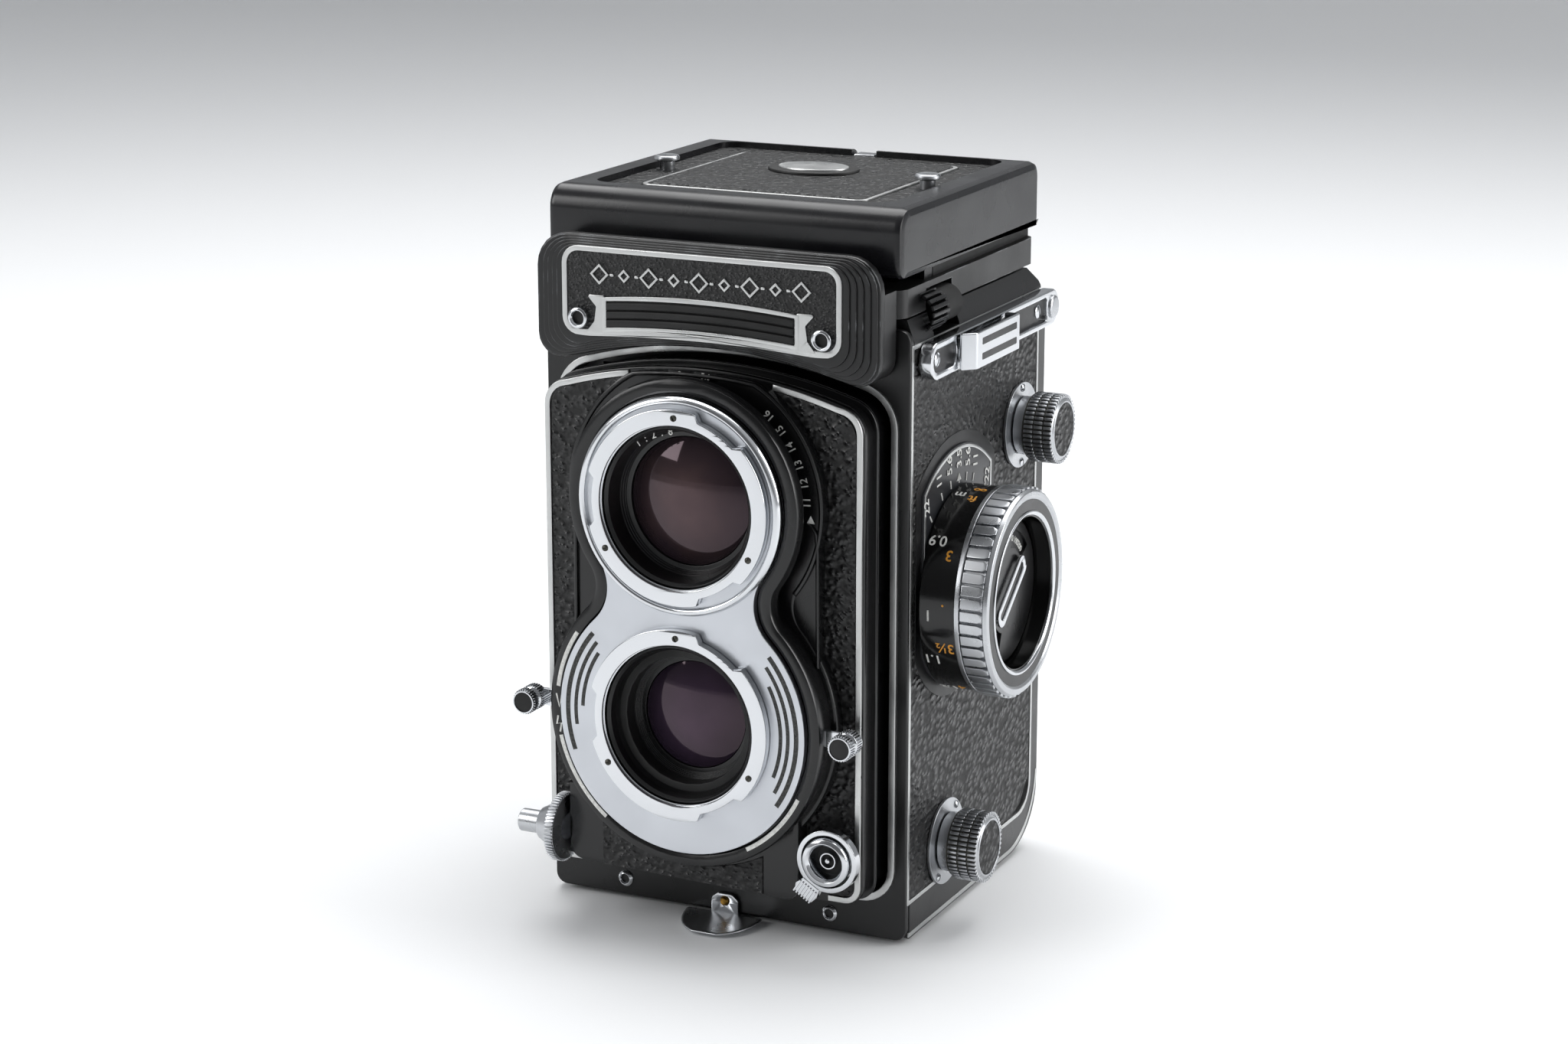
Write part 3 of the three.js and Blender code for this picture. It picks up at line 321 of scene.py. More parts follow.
def arched(grow, low_radius=4, high_radius=6):
    """The outline that the lens board, its opening and the bright frame share, widened by grow."""
    half = BOARD_HALF + grow
    low = BOARD_LOW - grow
    radius = BOARD_ARCH + grow
    centre = BOARD_HIGH - BOARD_ARCH
    inner = half - high_radius
    corner = centre + math.sqrt((radius - high_radius) ** 2 - inner ** 2)
    lean = math.degrees(math.asin(inner / (radius - high_radius)))
    return (arc(half - low_radius, low + low_radius, low_radius, -90, 0, 8)
            + arc(inner, corner, high_radius, 0, 90 - lean, 8)
            + arc(0, centre, radius, 90 - lean, 90 + lean, 40)
            + arc(-inner, corner, high_radius, 90 + lean, 180, 8)
            + arc(-half + low_radius, low + low_radius, low_radius, 180, 270, 8))


SIDEWAYS = Matrix(((0, 0, 1, 0), (1, 0, 0, 0), (0, 1, 0, 0), (0, 0, 0, 1)))
FORWARD = Matrix(((1, 0, 0, 0), (0, 0, -1, 0), (0, 1, 0, 0), (0, 0, 0, 1)))
UPWARD = Matrix.Identity(4)
FACING = {"X": SIDEWAYS, "Y": FORWARD, "Z": UPWARD}


def stamped(name, outlines, axis, low, high, edge=0.15):
    """A plate between two levels on an axis. Outlines inside others are holes; edge rounds the rims."""
    curve = bpy.data.curves.new(name, "CURVE")
    curve.dimensions = "2D"
    curve.fill_mode = "BOTH"
    for outline in outlines:
        spline = curve.splines.new("POLY")
        spline.points.add(len(outline) - 1)
        for point, (u, v) in zip(spline.points, outline):
            point.co = (u, v, 0, 1)
        spline.use_cyclic_u = True
    curve.extrude = (high - low) / 2 - edge
    curve.bevel_depth = edge
    curve.bevel_resolution = 1
    curve.offset = -edge
    flat = link(name + "_outline", curve)
    bpy.context.view_layer.update()
    graph = bpy.context.evaluated_depsgraph_get()
    mesh = bpy.data.meshes.new_from_object(flat.evaluated_get(graph), depsgraph=graph)
    bpy.data.objects.remove(flat)
    middle = (low + high) / 2
    along = {"X": (middle, 0, 0), "Y": (0, middle, 0), "Z": (0, 0, middle)}[axis]
    mesh.transform(Matrix.Scale(MM, 4) @ Matrix.Translation(along) @ FACING[axis])
    mesh.name = name
    return link(name, mesh)


def plated(name, colour, roughness, lump_mm, depth_mm, scratches=0.0):
    """Plated metal: how bright and even it is comes from the polish under the plating."""
    material, tree, shader = new_finish(name, colour, roughness, 1.0)
    place = object_place(tree)
    smear = noise(tree, place, 6, 4)
    tree.links.new(between(tree, smear, roughness * 0.75, roughness * 1.35), shader.inputs["Roughness"])
    lumps = noise(tree, place, lump_mm, 2)
    height = bump(tree, lumps, depth_mm)
    if scratches:
        stretch = add_node(tree, "ShaderNodeMapping", Vector=place, Scale=(1, 1, 30)).outputs["Vector"]
        fine = noise(tree, stretch, 1.5, 3)
        height = bump(tree, fine, scratches, height)
    tree.links.new(height, shader.inputs["Normal"])
    return material


CHROME = plated("polished_chrome", "d3d5d8", 0.12, 2.5, 0.003)
SATIN_CHROME = plated("satin_chrome", "bfc1c4", 0.3, 0.25, 0.004)
NICKEL_LINE = plated("rubbed_nickel", "c6c7c6", 0.34, 0.3, 0.004, 0.002)

plate = stamped("front_plate", [rounded_box(-HALF_WIDTH, HALF_WIDTH, BASE, AXIS + 74.8, 2.4),
                                arched(0.9, 5.5, 7)], "Y", BODY_FRONT, BODY_FRONT + 1.65, 0.4)
settle(plate, BLACK_ENAMEL, "body", ["front_cover"])
band = stamped("arched_frame", [arched(2.4, 7, 9), arched(1.0, 5.6, 7.1)], "Y", BODY_FRONT - 0.5,
               BODY_FRONT + 0.3, 0.2)
settle(band, NICKEL_LINE, "body")


def turned(name, profile, axis, centre, steps=96, round_to=0.0):
    """A piece turned from (radius, place along the axis) pairs, closed on the axis or on itself."""
    if round_to:
        profile = softened(profile, round_to)
    closed = Vector(profile[0]) == Vector(profile[-1]) and profile[0][0] > 0
    points = profile[:-1] if closed else profile
    verts = []
    rings = []
    for radius, along in points:
        count = 1 if radius < 1e-6 else steps
        rings.append([len(verts) + i for i in range(count)])
        for i in range(count):
            turn = 2 * math.pi * i / steps
            u = radius * math.cos(turn)
            v = radius * math.sin(turn)
            place = {"X": (along, u, v), "Y": (u, along, v), "Z": (u, v, along)}[axis]
            verts.append((Vector(place) + Vector(centre)) * MM)
    faces = []
    pairs = list(zip(rings, rings[1:])) + ([(rings[-1], rings[0])] if closed else [])
    for a, b in pairs:
        if len(a) == len(b) == 1:
            continue
        for i in range(steps):
            j = (i + 1) % steps
            corners = [a[i % len(a)], a[j % len(a)], b[j % len(b)], b[i % len(b)]]
            faces.append(list(dict.fromkeys(corners)))
    mesh = bpy.data.meshes.new(name)
    mesh.from_pydata(verts, [], faces)
    return link(name, mesh)


def softened(profile, radius, steps=3):
    """The same profile with its corners rounded, as a lathe tool leaves them."""
    closed = Vector(profile[0]) == Vector(profile[-1])
    out = [] if closed else [profile[0]]
    corners = range(len(profile) - 1) if closed else range(1, len(profile) - 1)
    for i in corners:
        here = Vector(profile[i])
        back = Vector(profile[i - 1 if i else -2]) - here
        ahead = Vector(profile[i + 1]) - here
        run = min(radius, back.length * 0.45, ahead.length * 0.45)
        if run < 1e-4 or back.angle(ahead) > 3.0 or here.x < 1e-6:
            out.append(tuple(here))
            continue
        a = here + back.normalized() * run
        b = here + ahead.normalized() * run
        for k in range(steps + 1):
            t = k / steps
            point = a * (1 - t) ** 2 + here * 2 * t * (1 - t) + b * t ** 2
            out.append((point.x, point.y))
    out.append(out[0] if closed else profile[-1])
    return out


def joined(name, pieces):
    """Several loose meshes as one object."""
    work = bmesh.new()
    for piece in pieces:
        work.from_mesh(piece.data)
        bpy.data.objects.remove(piece)
    mesh = bpy.data.meshes.new(name)
    work.to_mesh(mesh)
    work.free()
    return link(name, mesh)


RIVET = [(0.85, 0.9), (0.85, -0.3), (1.1, -0.62), (1.65, -0.2), (1.65, 0.9), (0.85, 0.9)]
rivets = [turned("rivet", RIVET, "Y", (side * 22.2, BODY_FRONT - 0.1, AXIS - 40.7), 40, 0.15)
          for side in (-1, 1)]
settle(joined("front_rivets", rivets), CHROME, "body")
RIVET_CORE = [(0, 0.3), (0.84, 0.3), (0.84, 0.8), (0, 0.8), ]
cores = [turned("core", RIVET_CORE, "Y", (side * 22.2, BODY_FRONT - 0.2, AXIS - 40.7), 24) for side in (-1,
                                                                                                        1)]
BRASS = plated("aged_brass", "9a7636", 0.34, 0.4, 0.01)
settle(joined("rivet_bores", cores), BRASS, "body")

# ---- side coverings and their bright lines ----
# Grained leatherette is cemented to both sides. A bright line follows its edge, and a second one
# runs along the lower edge of the rear door.


def leatherette(name, colour, across_mm):
    """Pressed leatherette: pebbles a little longer than wide, glossy on top and dull between, with painted
    shade darkening the hollows between them.
    """
    material, tree, shader = new_finish(name, colour, 0.36)
    place = object_place(tree)
    warp = add_node(tree, "ShaderNodeTexNoise", Vector=place, Scale=1000 / (across_mm * 2.2), Detail=2.0)
    shift = add_node(tree, "ShaderNodeVectorMath", {"operation": "MULTIPLY_ADD"}, i0=warp.outputs["Color"],
                     i1=(0.0011 * across_mm,) * 3, i2=place).outputs["Vector"]
    tall = add_node(tree, "ShaderNodeMapping", Vector=shift, Scale=(0.85, 0.6, 1)).outputs["Vector"]
    cells = add_node(tree, "ShaderNodeTexVoronoi", {"feature": "SMOOTH_F1"}, Vector=tall,
                     Scale=1000 / across_mm, Smoothness=0.55).outputs["Distance"]
    pebble = between(tree, cells, 1.0, 0.0, 0.05, 0.75)
    grit = noise(tree, place, across_mm * 0.22, 3)
    height = bump(tree, pebble, across_mm * 0.42)
    height = bump(tree, grit, 0.02, height)
    tree.links.new(height, shader.inputs["Normal"])
    tree.links.new(between(tree, pebble, 0.6, 0.26, 0.1, 0.8), shader.inputs["Roughness"])
    # The colour darkens in the hollows between pebbles: painted shade.
    tint = add_node(tree, "ShaderNodeMix", {"data_type": "RGBA"}, i0=pebble, i6=rgb("060606"), i7=rgb(colour))
    tree.links.new(tint.outputs[2], shader.inputs["Base Color"])
    return material


LEATHERETTE = leatherette("black_leatherette", "101011", 1.1)
SIDE_IN = HALF_WIDTH - 0.55


def side_loop(inset):
    """The outline of the covering on one side, as (Y, Z), inset from the bright line's outer edge."""
    return rounded(
        [(FRONT + 21.5 + inset, AXIS - 37.0 + inset), (FRONT + 85.0 - inset, AXIS - 37.0 + inset),
         (FRONT + 85.0 - inset, AXIS + 71.9 - inset), (FRONT + 21.5 + inset, AXIS + 71.9 - inset)],
        [0.4, 6.5 - inset, 0.4, 0.4])


def strip(points, width):
    """A closed outline round a line of points, with square ends."""
    left = []
    right = []
    for i, point in enumerate(points):
        before = Vector(points[max(i - 1, 0)])
        after = Vector(points[min(i + 1, len(points) - 1)])
        run = (after - before).normalized()
        side = Vector((-run.y, run.x)) * width / 2
        left.append(tuple(Vector(point) + side))
        right.append(tuple(Vector(point) - side))
    return left + right[::-1]


for side, name in ((1, "right"), (-1, "left")):
    outer = side * HALF_WIDTH
    inner = side * SIDE_IN
    low, high = sorted((inner, outer))
    skin = stamped(f"leatherette_{name}", [side_loop(0.9)], "X", low, high, 0.12)
    settle(skin, LEATHERETTE, "body", [f"side_cover_{name}"])
    low, high = sorted((inner, outer + side * 0.12))
    line = stamped(f"side_line_{name}", [side_loop(0), side_loop(0.85)], "X", low, high, 0.06)
    settle(line, NICKEL_LINE, "body")
    corner = arc(FRONT + 73.6, AXIS - 28.6, 14.6, -90, -4, 14)
    low, high = sorted((outer - side * 0.2, outer + side * 0.1))
    lower = stamped(f"door_line_{name}", [strip([(FRONT + 22.4, AXIS - 43.2)] + corner, 0.9)], "X", low,
                    high, 0.04)
    settle(lower, NICKEL_LINE, "back_door")

# ---- depth-of-field plate ----
# A small enamelled plate screwed under the focus knob, with engraved and white-filled numbers. The
# leatherette round it is pressed flat in a border 2 mm wide.

KNOB_Y = (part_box("focus_knob")[0].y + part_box("focus_knob")[1].y) / 2 / MM
KNOB_Z = (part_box("focus_knob")[0].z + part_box("focus_knob")[1].z) / 2 / MM
PLATE_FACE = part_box("depth_scale_plate")[1].x / MM


def scale_arch(grow):
    half = 16.7 + grow
    crown = 25.5 + grow
    bowl = 19.2 + grow
    lean = math.degrees(math.acos(half / crown))
    sink = math.degrees(math.acos(half / bowl))
    return (arc(KNOB_Y, AXIS + 23.4, crown, lean, 180 - lean, 40)
            + arc(KNOB_Y, KNOB_Z, bowl, 180 + sink, 360 - sink, 40))


SMOOTH_SKIN = enamel("pressed_flat_leatherette", "121213", 0.42)
border = stamped("scale_border", [scale_arch(2.4)], "X", HALF_WIDTH - 0.3, HALF_WIDTH + 0.12, 0.05)
settle(border, SMOOTH_SKIN, "body")
GREY_ENAMEL = enamel("grey_black_enamel", "232427", 0.36)
scale = stamped("scale_plate", [scale_arch(0)], "X", HALF_WIDTH, PLATE_FACE - 0.1, 0.1)
settle(scale, GREY_ENAMEL, "body", ["depth_scale_plate"])
rim = stamped("scale_rim", [scale_arch(-0.35), scale_arch(-0.95)], "X", HALF_WIDTH + 0.2, PLATE_FACE, 0.05)
settle(rim, NICKEL_LINE, "body")


def paint_fill(name, colour):
    """Engraving filled with paint: flat, slightly chalky."""
    material, tree, shader = new_finish(name, colour, 0.55)
    place = object_place(tree)
    tint = add_node(tree, "ShaderNodeMix", {"data_type": "RGBA"},
                    i0=between(tree, noise(tree, place, 0.5), 0, 0.35), i6=rgb(colour), i7=rgb("6a6a66"))
    tree.links.new(tint.outputs[2], shader.inputs["Base Color"])
    return material


WHITE_FILL = paint_fill("white_paint_fill", "e8e8e4")
ORANGE_FILL = paint_fill("orange_paint_fill", "e39a1c")
BLACK_FILL = paint_fill("black_paint_fill", "0a0a0a")


def lettering(text, size, place, depth=0.03):
    """One mesh of a number or sign. Its place is a matrix from the flat page to the camera's frame, in mm."""
    curve = bpy.data.curves.new("sign", "FONT")
    curve.body = text
    curve.size = size
    curve.align_x = "CENTER"
    curve.align_y = "CENTER"
    curve.extrude = depth
    curve.offset = size * 0.012
    curve.resolution_u = 3
    page = link("sign", curve)
    bpy.context.view_layer.update()
    graph = bpy.context.evaluated_depsgraph_get()
    mesh = bpy.data.meshes.new_from_object(page.evaluated_get(graph), depsgraph=graph)
    bpy.data.objects.remove(page)
    mesh.transform(Matrix.Scale(MM, 4) @ place)
    return link("sign", mesh)


def on_side(x, y, z, turn=0.0):
    """The place of a sign on a face that looks to +X, turned anticlockwise by degrees."""
    return Matrix.Translation((x, y, z)) @ SIDEWAYS @ Matrix.Rotation(math.radians(turn), 4, "Z")


def on_front(x, y, z, turn=0.0):
    """The place of a sign on a face that looks forwards."""
    return Matrix.Translation((x, y, z)) @ FORWARD @ Matrix.Rotation(math.radians(turn), 4, "Z")


APERTURES = [(-15.4, 40.1, "22"), (-9.6, 44.0, "11"), (-4.7, 45.8, "5.6"), (0, 46.3, "3.5"),
             (4.3, 45.7, "5.6"), (8.1, 44.2, "11"), (14.1, 40.0, "22")]
signs = []
for along, height, text in APERTURES:
    lean = math.degrees(math.atan2(along, height - 21.7))
    signs.append(lettering(text, 3.1, on_side(PLATE_FACE, KNOB_Y + along, AXIS + height, 90 - lean * 0.25)))
    t = math.radians(lean)
    tick = strip([(KNOB_Y + r * math.sin(t), KNOB_Z + r * math.cos(t)) for r in (20.1, 21.7)], 0.32)
    signs.append(stamped("tick", [tick], "X", PLATE_FACE - 0.15, PLATE_FACE + 0.03, 0.01))
index = [(KNOB_Y - 1.0, KNOB_Z + 20.6), (KNOB_Y + 1.0, KNOB_Z + 20.6), (KNOB_Y, KNOB_Z + 22.0)]
signs.append(stamped("index", [index], "X", PLATE_FACE - 0.15, PLATE_FACE + 0.03, 0.01))
settle(joined("scale_numbers", signs), WHITE_FILL, "body")

# ---- spool knobs ----
# Two pull-out knobs hold the film spools. Each has a thin chromed bearing plate with two slotted
# screws, a satin collar, a straight knurl cut in three bands, and a leatherette disc in its end.


def hoop(inner, outer, low, high):
    """The closed outline of a plain ring, for turning."""
    return [(inner, low), (outer, low), (outer, high), (inner, high), (inner, low)]


def ring_of(name, tooth, count, axis, centre):
    """A piece repeated evenly round an axis by Geometry Nodes, as one plain mesh."""
    tree = bpy.data.node_groups.new("ring_of_teeth", "GeometryNodeTree")
    tree.interface.new_socket("Geometry", in_out="INPUT", socket_type="NodeSocketGeometry")
    tree.interface.new_socket("Count", in_out="INPUT", socket_type="NodeSocketInt")
    tree.interface.new_socket("Geometry", in_out="OUTPUT", socket_type="NodeSocketGeometry")
    given = tree.nodes.new("NodeGroupInput")
    points = add_node(tree, "GeometryNodePoints", Count=given.outputs["Count"])
    place = tree.nodes.new("GeometryNodeInputIndex")
    step = add_node(tree, "ShaderNodeMath", {"operation": "DIVIDE"}, i0=2 * math.pi,
                    i1=given.outputs["Count"])
    turn = add_node(tree, "ShaderNodeMath", {"operation": "MULTIPLY"}, i0=place.outputs[0],
                    i1=step.outputs[0])
    angles = add_node(tree, "ShaderNodeCombineXYZ", Z=turn.outputs[0])
    copies = add_node(tree, "GeometryNodeInstanceOnPoints", Points=points.outputs[0],
                      Instance=given.outputs["Geometry"], Rotation=angles.outputs[0])
    real = add_node(tree, "GeometryNodeRealizeInstances", Geometry=copies.outputs[0])
    coated = add_node(tree, "GeometryNodeSetMaterial", Geometry=real.outputs[0], Material=SATIN_CHROME)
    result = tree.nodes.new("NodeGroupOutput")
    tree.links.new(coated.outputs[0], result.inputs[0])
    repeat = tooth.modifiers.new("ring", "NODES")
    repeat.node_group = tree
    wanted = next(s for s in tree.interface.items_tree if s.name == "Count")
    repeat[wanted.identifier] = count
    bpy.context.view_layer.update()
    graph = bpy.context.evaluated_depsgraph_get()
    mesh = bpy.data.meshes.new_from_object(tooth.evaluated_get(graph), depsgraph=graph)
    bpy.data.objects.remove(tooth)
    around = {"X": Matrix.Rotation(math.pi / 2, 4, "Y"), "Y": Matrix.Rotation(-math.pi / 2, 4, "X"),
              "Z": Matrix.Identity(4)}[axis]
    mesh.transform(Matrix.Translation(Vector(centre) * MM) @ around)
    mesh.name = name
    return link(name, mesh)


def block(x0, x1, y0, y1, z0, z1):
    """A plain block whose edges are rounded later."""
    mesh = bpy.data.meshes.new("block")
    verts = [(x * MM, y * MM, z * MM) for z in (z0, z1) for y in (y0, y1) for x in (x0, x1)]
    faces = [(0, 2, 3, 1), (4, 5, 7, 6), (0, 1, 5, 4), (2, 6, 7, 3), (0, 4, 6, 2), (1, 3, 7, 5)]
    mesh.from_pydata(verts, [], faces)
    return link("block", mesh)


def carve(piece, *tools):
    """Cuts the tools out of a piece."""
    for tool in tools:
        cutting = piece.modifiers.new("cut", "BOOLEAN")
        cutting.operation = "DIFFERENCE"
        cutting.solver = "EXACT"
        cutting.object = tool
        bpy.context.view_layer.update()
        graph = bpy.context.evaluated_depsgraph_get()
        mesh = bpy.data.meshes.new_from_object(piece.evaluated_get(graph), depsgraph=graph)
        piece.modifiers.clear()
        piece.data = mesh
        bpy.data.objects.remove(tool)
    return piece


def slotted_screw(centre, radius, axis, sign, turn=0.0):
    """A low domed screw with a cut slot."""
    dome = [(0, 0), (radius, 0), (radius, 0.25), (radius * 0.8, 0.42), (radius * 0.4, 0.52), (0, 0.55)]
    head = turned("screw", [(r, sign * t) for r, t in dome], axis, centre, 24)
    reach = radius * 1.3
    slot = block(-0.16, 0.16, -reach, reach, 0.2, 1.0)
    spin = Matrix.Rotation(math.radians(turn), 4, "Z")
    aim = {"X": Matrix.Rotation(sign * math.pi / 2, 4, "Y"), "Y": Matrix.Rotation(-sign * math.pi / 2, 4,
                                                                                  "X"),
           "Z": Matrix.Identity(4)}[axis]
    slot.data.transform(Matrix.Translation(Vector(centre) * MM) @ aim @ spin)
    return carve(head, slot)


SCREW_CIRCLE = 7.5
KNURL_TEETH = 46
# Darker chrome. On the spool knobs it shows only in the grooves between the knurl teeth, as painted shade;
# the small bayonet screws are also made in it.
CHROME_DARK = plated("knurl_ground", "55544f", 0.45, 0.3, 0.006)

for level, bearing_turn in (("upper", 20), ("lower", -15)):
    low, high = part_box(f"spool_plate_{level}")
    centre = (0, (low.y + high.y) / 2 / MM, (low.z + high.z) / 2 / MM)
    face = high.x / MM
    disc = turned("disc", [(5.2, face - 0.6), (8.55, face - 0.6), (8.55, face), (5.2, face + 0.05),
                           (5.2, face - 0.6)], "X", centre, 72, 0.1)
    settle(disc, SATIN_CHROME, "body", [f"spool_plate_{level}"])
    disc.name = f"bearing_plate_{level}"
    screws = []
    for turn in (bearing_turn + 70, bearing_turn + 250):
        t = math.radians(turn)
        at = (face - 0.1, centre[1] + SCREW_CIRCLE * math.cos(t), centre[2] + SCREW_CIRCLE * math.sin(t))
        screws.append(slotted_screw(at, 0.8, "X", 1, turn))
    settle(joined(f"bearing_screws_{level}", screws), CHROME, "body")
    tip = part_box(f"spool_knob_{level}")[0].x / MM
    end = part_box(f"spool_knob_{level}")[1].x / MM
    body = f"spool_knob_{level}"
    core = [(0, tip), (2.9, tip), (2.9, face + 0.3), (5.8, face + 0.3), (5.85, 41.45), (6.45, 41.65),
            (6.45, end - 0.2), (5.9, end), (5.7, end + 0.3), (5.3, end + 0.3), (5.3, end), (0, end)]
    knob = turned(f"spool_collar_{level}", core, "X", centre, 72, 0.15)
    settle(knob, SATIN_CHROME, body, [body])
    bands = [(41.7, 43.5), (43.8, 45.5), (45.8, end)]
    teeth = joined("tooth", [block(-x1, -x0, -0.27, 0.27, 6.2, 6.95) for x0, x1 in bands])
    # The teeth are modelled round Z, with their length along -X folded on to the axis.
    teeth.data.transform(Matrix(((0, 0, 1, 0), (0, 1, 0, 0), (-1, 0, 0, 0), (0, 0, 0, 1))))
    knurl = ring_of(f"spool_knurl_{level}", teeth, KNURL_TEETH, "X", centre)
    settle(knurl, SATIN_CHROME, body, bevel=0.12)
    # A darker hoop under the teeth: painted shade in the grooves of the knurl.
    grip = turned(f"spool_groove_shade_{level}", hoop(6.3, 6.5, 41.22, end - 0.1), "X", centre, 72)
    settle(grip, CHROME_DARK, body)
    cap = turned(f"spool_cap_{level}", [(0, end - 0.1), (5.25, end - 0.1), (5.25, end + 0.12),
                                        (5.0, end + 0.22), (0, end + 0.3)], "X", centre, 64)
    settle(cap, LEATHERETTE, body)

# ---- focus knob ----
# The knob is turned in one piece: a black lacquered drum with the distance scale, a plain band, a
# reeded grip and a chromed face. A film-type dial with a lifting bail sits in the recess.

KNOB_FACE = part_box("focus_knob")[1].x / MM
DRUM_IN = PLATE_FACE + 0.3
BAND_IN = 46.2
REED_IN = 47.5
REED_OUT = 51.6
REEDS = 52
DRUM_RADIUS = 19.7
BAIL_LEAN = 38
hub = (0, KNOB_Y, KNOB_Z)
PIANO_BLACK = enamel("gloss_black_lacquer", "070707", 0.12)
drum = turned("distance_drum", [(0, 31.5), (3, 31.5), (3, DRUM_IN), (DRUM_RADIUS, DRUM_IN),
                                (DRUM_RADIUS, BAND_IN), (0, BAND_IN)], "X", hub, 160, 0.25)
settle(drum, PIANO_BLACK, "focus_knob", ["focus_knob"])
band = turned("knob_band", [(15, BAND_IN), (20.0, BAND_IN), (20.1, REED_IN - 0.3), (19.3, REED_IN - 0.1),
                            (19.3, REED_OUT), (19.6, REED_OUT + 0.4), (19.9, KNOB_FACE - 0.9),
                            (19.5, KNOB_FACE - 0.1), (18.5, KNOB_FACE), (17.9, KNOB_FACE - 0.4),
                            (15, KNOB_FACE - 0.4), (15, BAND_IN)], "X", hub, 160, 0.15)
settle(band, SATIN_CHROME, "focus_knob")


def reed():
    """One flat-topped reed, with its front end cut to a scallop, modelled round Z."""
    half = 0.98
    outline = [(-half, 0), (half, 0), (half, REED_OUT - REED_IN - 0.5),
               (half * 0.6, REED_OUT - REED_IN + 0.3), (-half * 0.6, REED_OUT - REED_IN + 0.3),
               (-half, REED_OUT - REED_IN - 0.5)]
    bar = stamped("reed", [outline], "Z", 19.2, 20.3, 0.18)
    bar.data.transform(Matrix(((0, 0, 1, 0), (1, 0, 0, 0), (0, 1, 0, 0), (0, 0, 0, 1))))
    return bar


grip = ring_of("knob_reeds", reed(), REEDS, "X", (REED_IN, KNOB_Y, KNOB_Z))
settle(grip, SATIN_CHROME, "focus_knob")
face_ring = turned("knob_face_ring", hoop(15.8, 18.0, KNOB_FACE - 0.7, KNOB_FACE - 0.3), "X", hub, 128, 0.05)
settle(face_ring, BLACK_ENAMEL, "focus_knob")
inner_ring = turned("knob_inner_ring", [(14.9, BAND_IN + 3), (15.8, BAND_IN + 3), (15.8, KNOB_FACE - 0.1),
                                        (15.4, KNOB_FACE), (14.9, KNOB_FACE - 0.3), (14.9, BAND_IN + 3)],
                    "X", hub, 128, 0.12)
settle(inner_ring, CHROME, "focus_knob")
DIAL_FACE = KNOB_FACE - 3.8
well = turned("knob_well", [(0, BAND_IN), (15, BAND_IN), (15, KNOB_FACE - 0.6), (14.6, KNOB_FACE - 0.6),
                            (14.5, DIAL_FACE - 1.4), (0, DIAL_FACE - 1.4)], "X", hub, 128, 0.1)
settle(well, PIANO_BLACK, "focus_knob")

signs = []


def drum_sign(text, size, turn, x, finish_list):
    """A sign on the drum at an angle from straight up, forwards positive, read from behind the knob."""
    t = math.radians(turn)
    spin = Matrix.Rotation(t, 4, "X")
    lift = Matrix.Translation((x, 0, DRUM_RADIUS + 0.02))
    page = Matrix.Rotation(math.pi, 4, "Z")
    place = Matrix.Translation(hub) @ spin @ lift @ page
    finish_list.append(lettering(text, size, place))


METRES = [(14, "m"), (50, "0.9"), (92, "1"), (120, "1.1"), (154, "1.2")]
FEET = [(5, "∞"), (17, "ft"), (58, "3"), (88, "."), (111, "3½"), (151, "4")]
whites = []
oranges = []
for turn, text in METRES:
    drum_sign(text, 3.0, turn, DRUM_IN + 1.9, whites)
for turn, text in FEET:
    drum_sign(text, 3.0, turn, DRUM_IN + 4.8, oranges)
settle(joined("metre_scale", whites), WHITE_FILL, "focus_knob")
settle(joined("feet_scale", oranges), ORANGE_FILL, "focus_knob")

dial = turned("film_dial_disc", [(0, DIAL_FACE - 1.1), (14.2, DIAL_FACE - 1.1), (14.2, DIAL_FACE - 0.4),
                                 (13.6, DIAL_FACE), (0, DIAL_FACE)], "X", hub, 96, 0.1)
windows = []
for turn, reach_deg in ((35, 46), (205, 46)):
    shape = arc(KNOB_Y, KNOB_Z, 11.8, turn, turn + reach_deg, 12) + arc(KNOB_Y, KNOB_Z, 8.2,
                                                                        turn + reach_deg, turn, 12)
    windows.append(stamped("window", [shape], "X", DIAL_FACE - 0.6, DIAL_FACE + 1, 0.02))
carve(dial, *windows)
settle(dial, BLACK_ENAMEL, "film_dial", ["film_dial"])
numbers = []
for turn, text in ((58, "100"), (72, "50"), (44, "200"), (228, "15"), (215, "18"), (242, "21")):
    t = math.radians(turn)
    spot = on_side(DIAL_FACE - 0.58, KNOB_Y + 10 * math.cos(t), KNOB_Z + 10 * math.sin(t), turn - 90)
    numbers.append(lettering(text, 1.7, spot))
settle(joined("film_dial_numbers", numbers), WHITE_FILL, "film_dial")
bail_outer = rounded_box(KNOB_Y - 8.2, KNOB_Y + 8.2, KNOB_Z - 2.2, KNOB_Z + 2.2, 2.1)
bail_inner = rounded_box(KNOB_Y - 6.8, KNOB_Y + 6.8, KNOB_Z - 0.9, KNOB_Z + 0.9, 0.85)
bail = stamped("dial_bail", [bail_outer, bail_inner], "X", DIAL_FACE + 0.5, DIAL_FACE + 1.1, 0.2)
bail.data.transform(Matrix.Translation(Vector(hub) * MM) @ Matrix.Rotation(math.radians(BAIL_LEAN), 4, "X")
                    @ Matrix.Translation(-Vector(hub) * MM))
settle(bail, CHROME, "film_dial")

# ---- strap lugs ----
# Each side carries a long chromed lug with two black inlays and slotted screws. A hollow bridge of
# folded sheet slides on it to lock the strap, and a satin button closes the rear end.

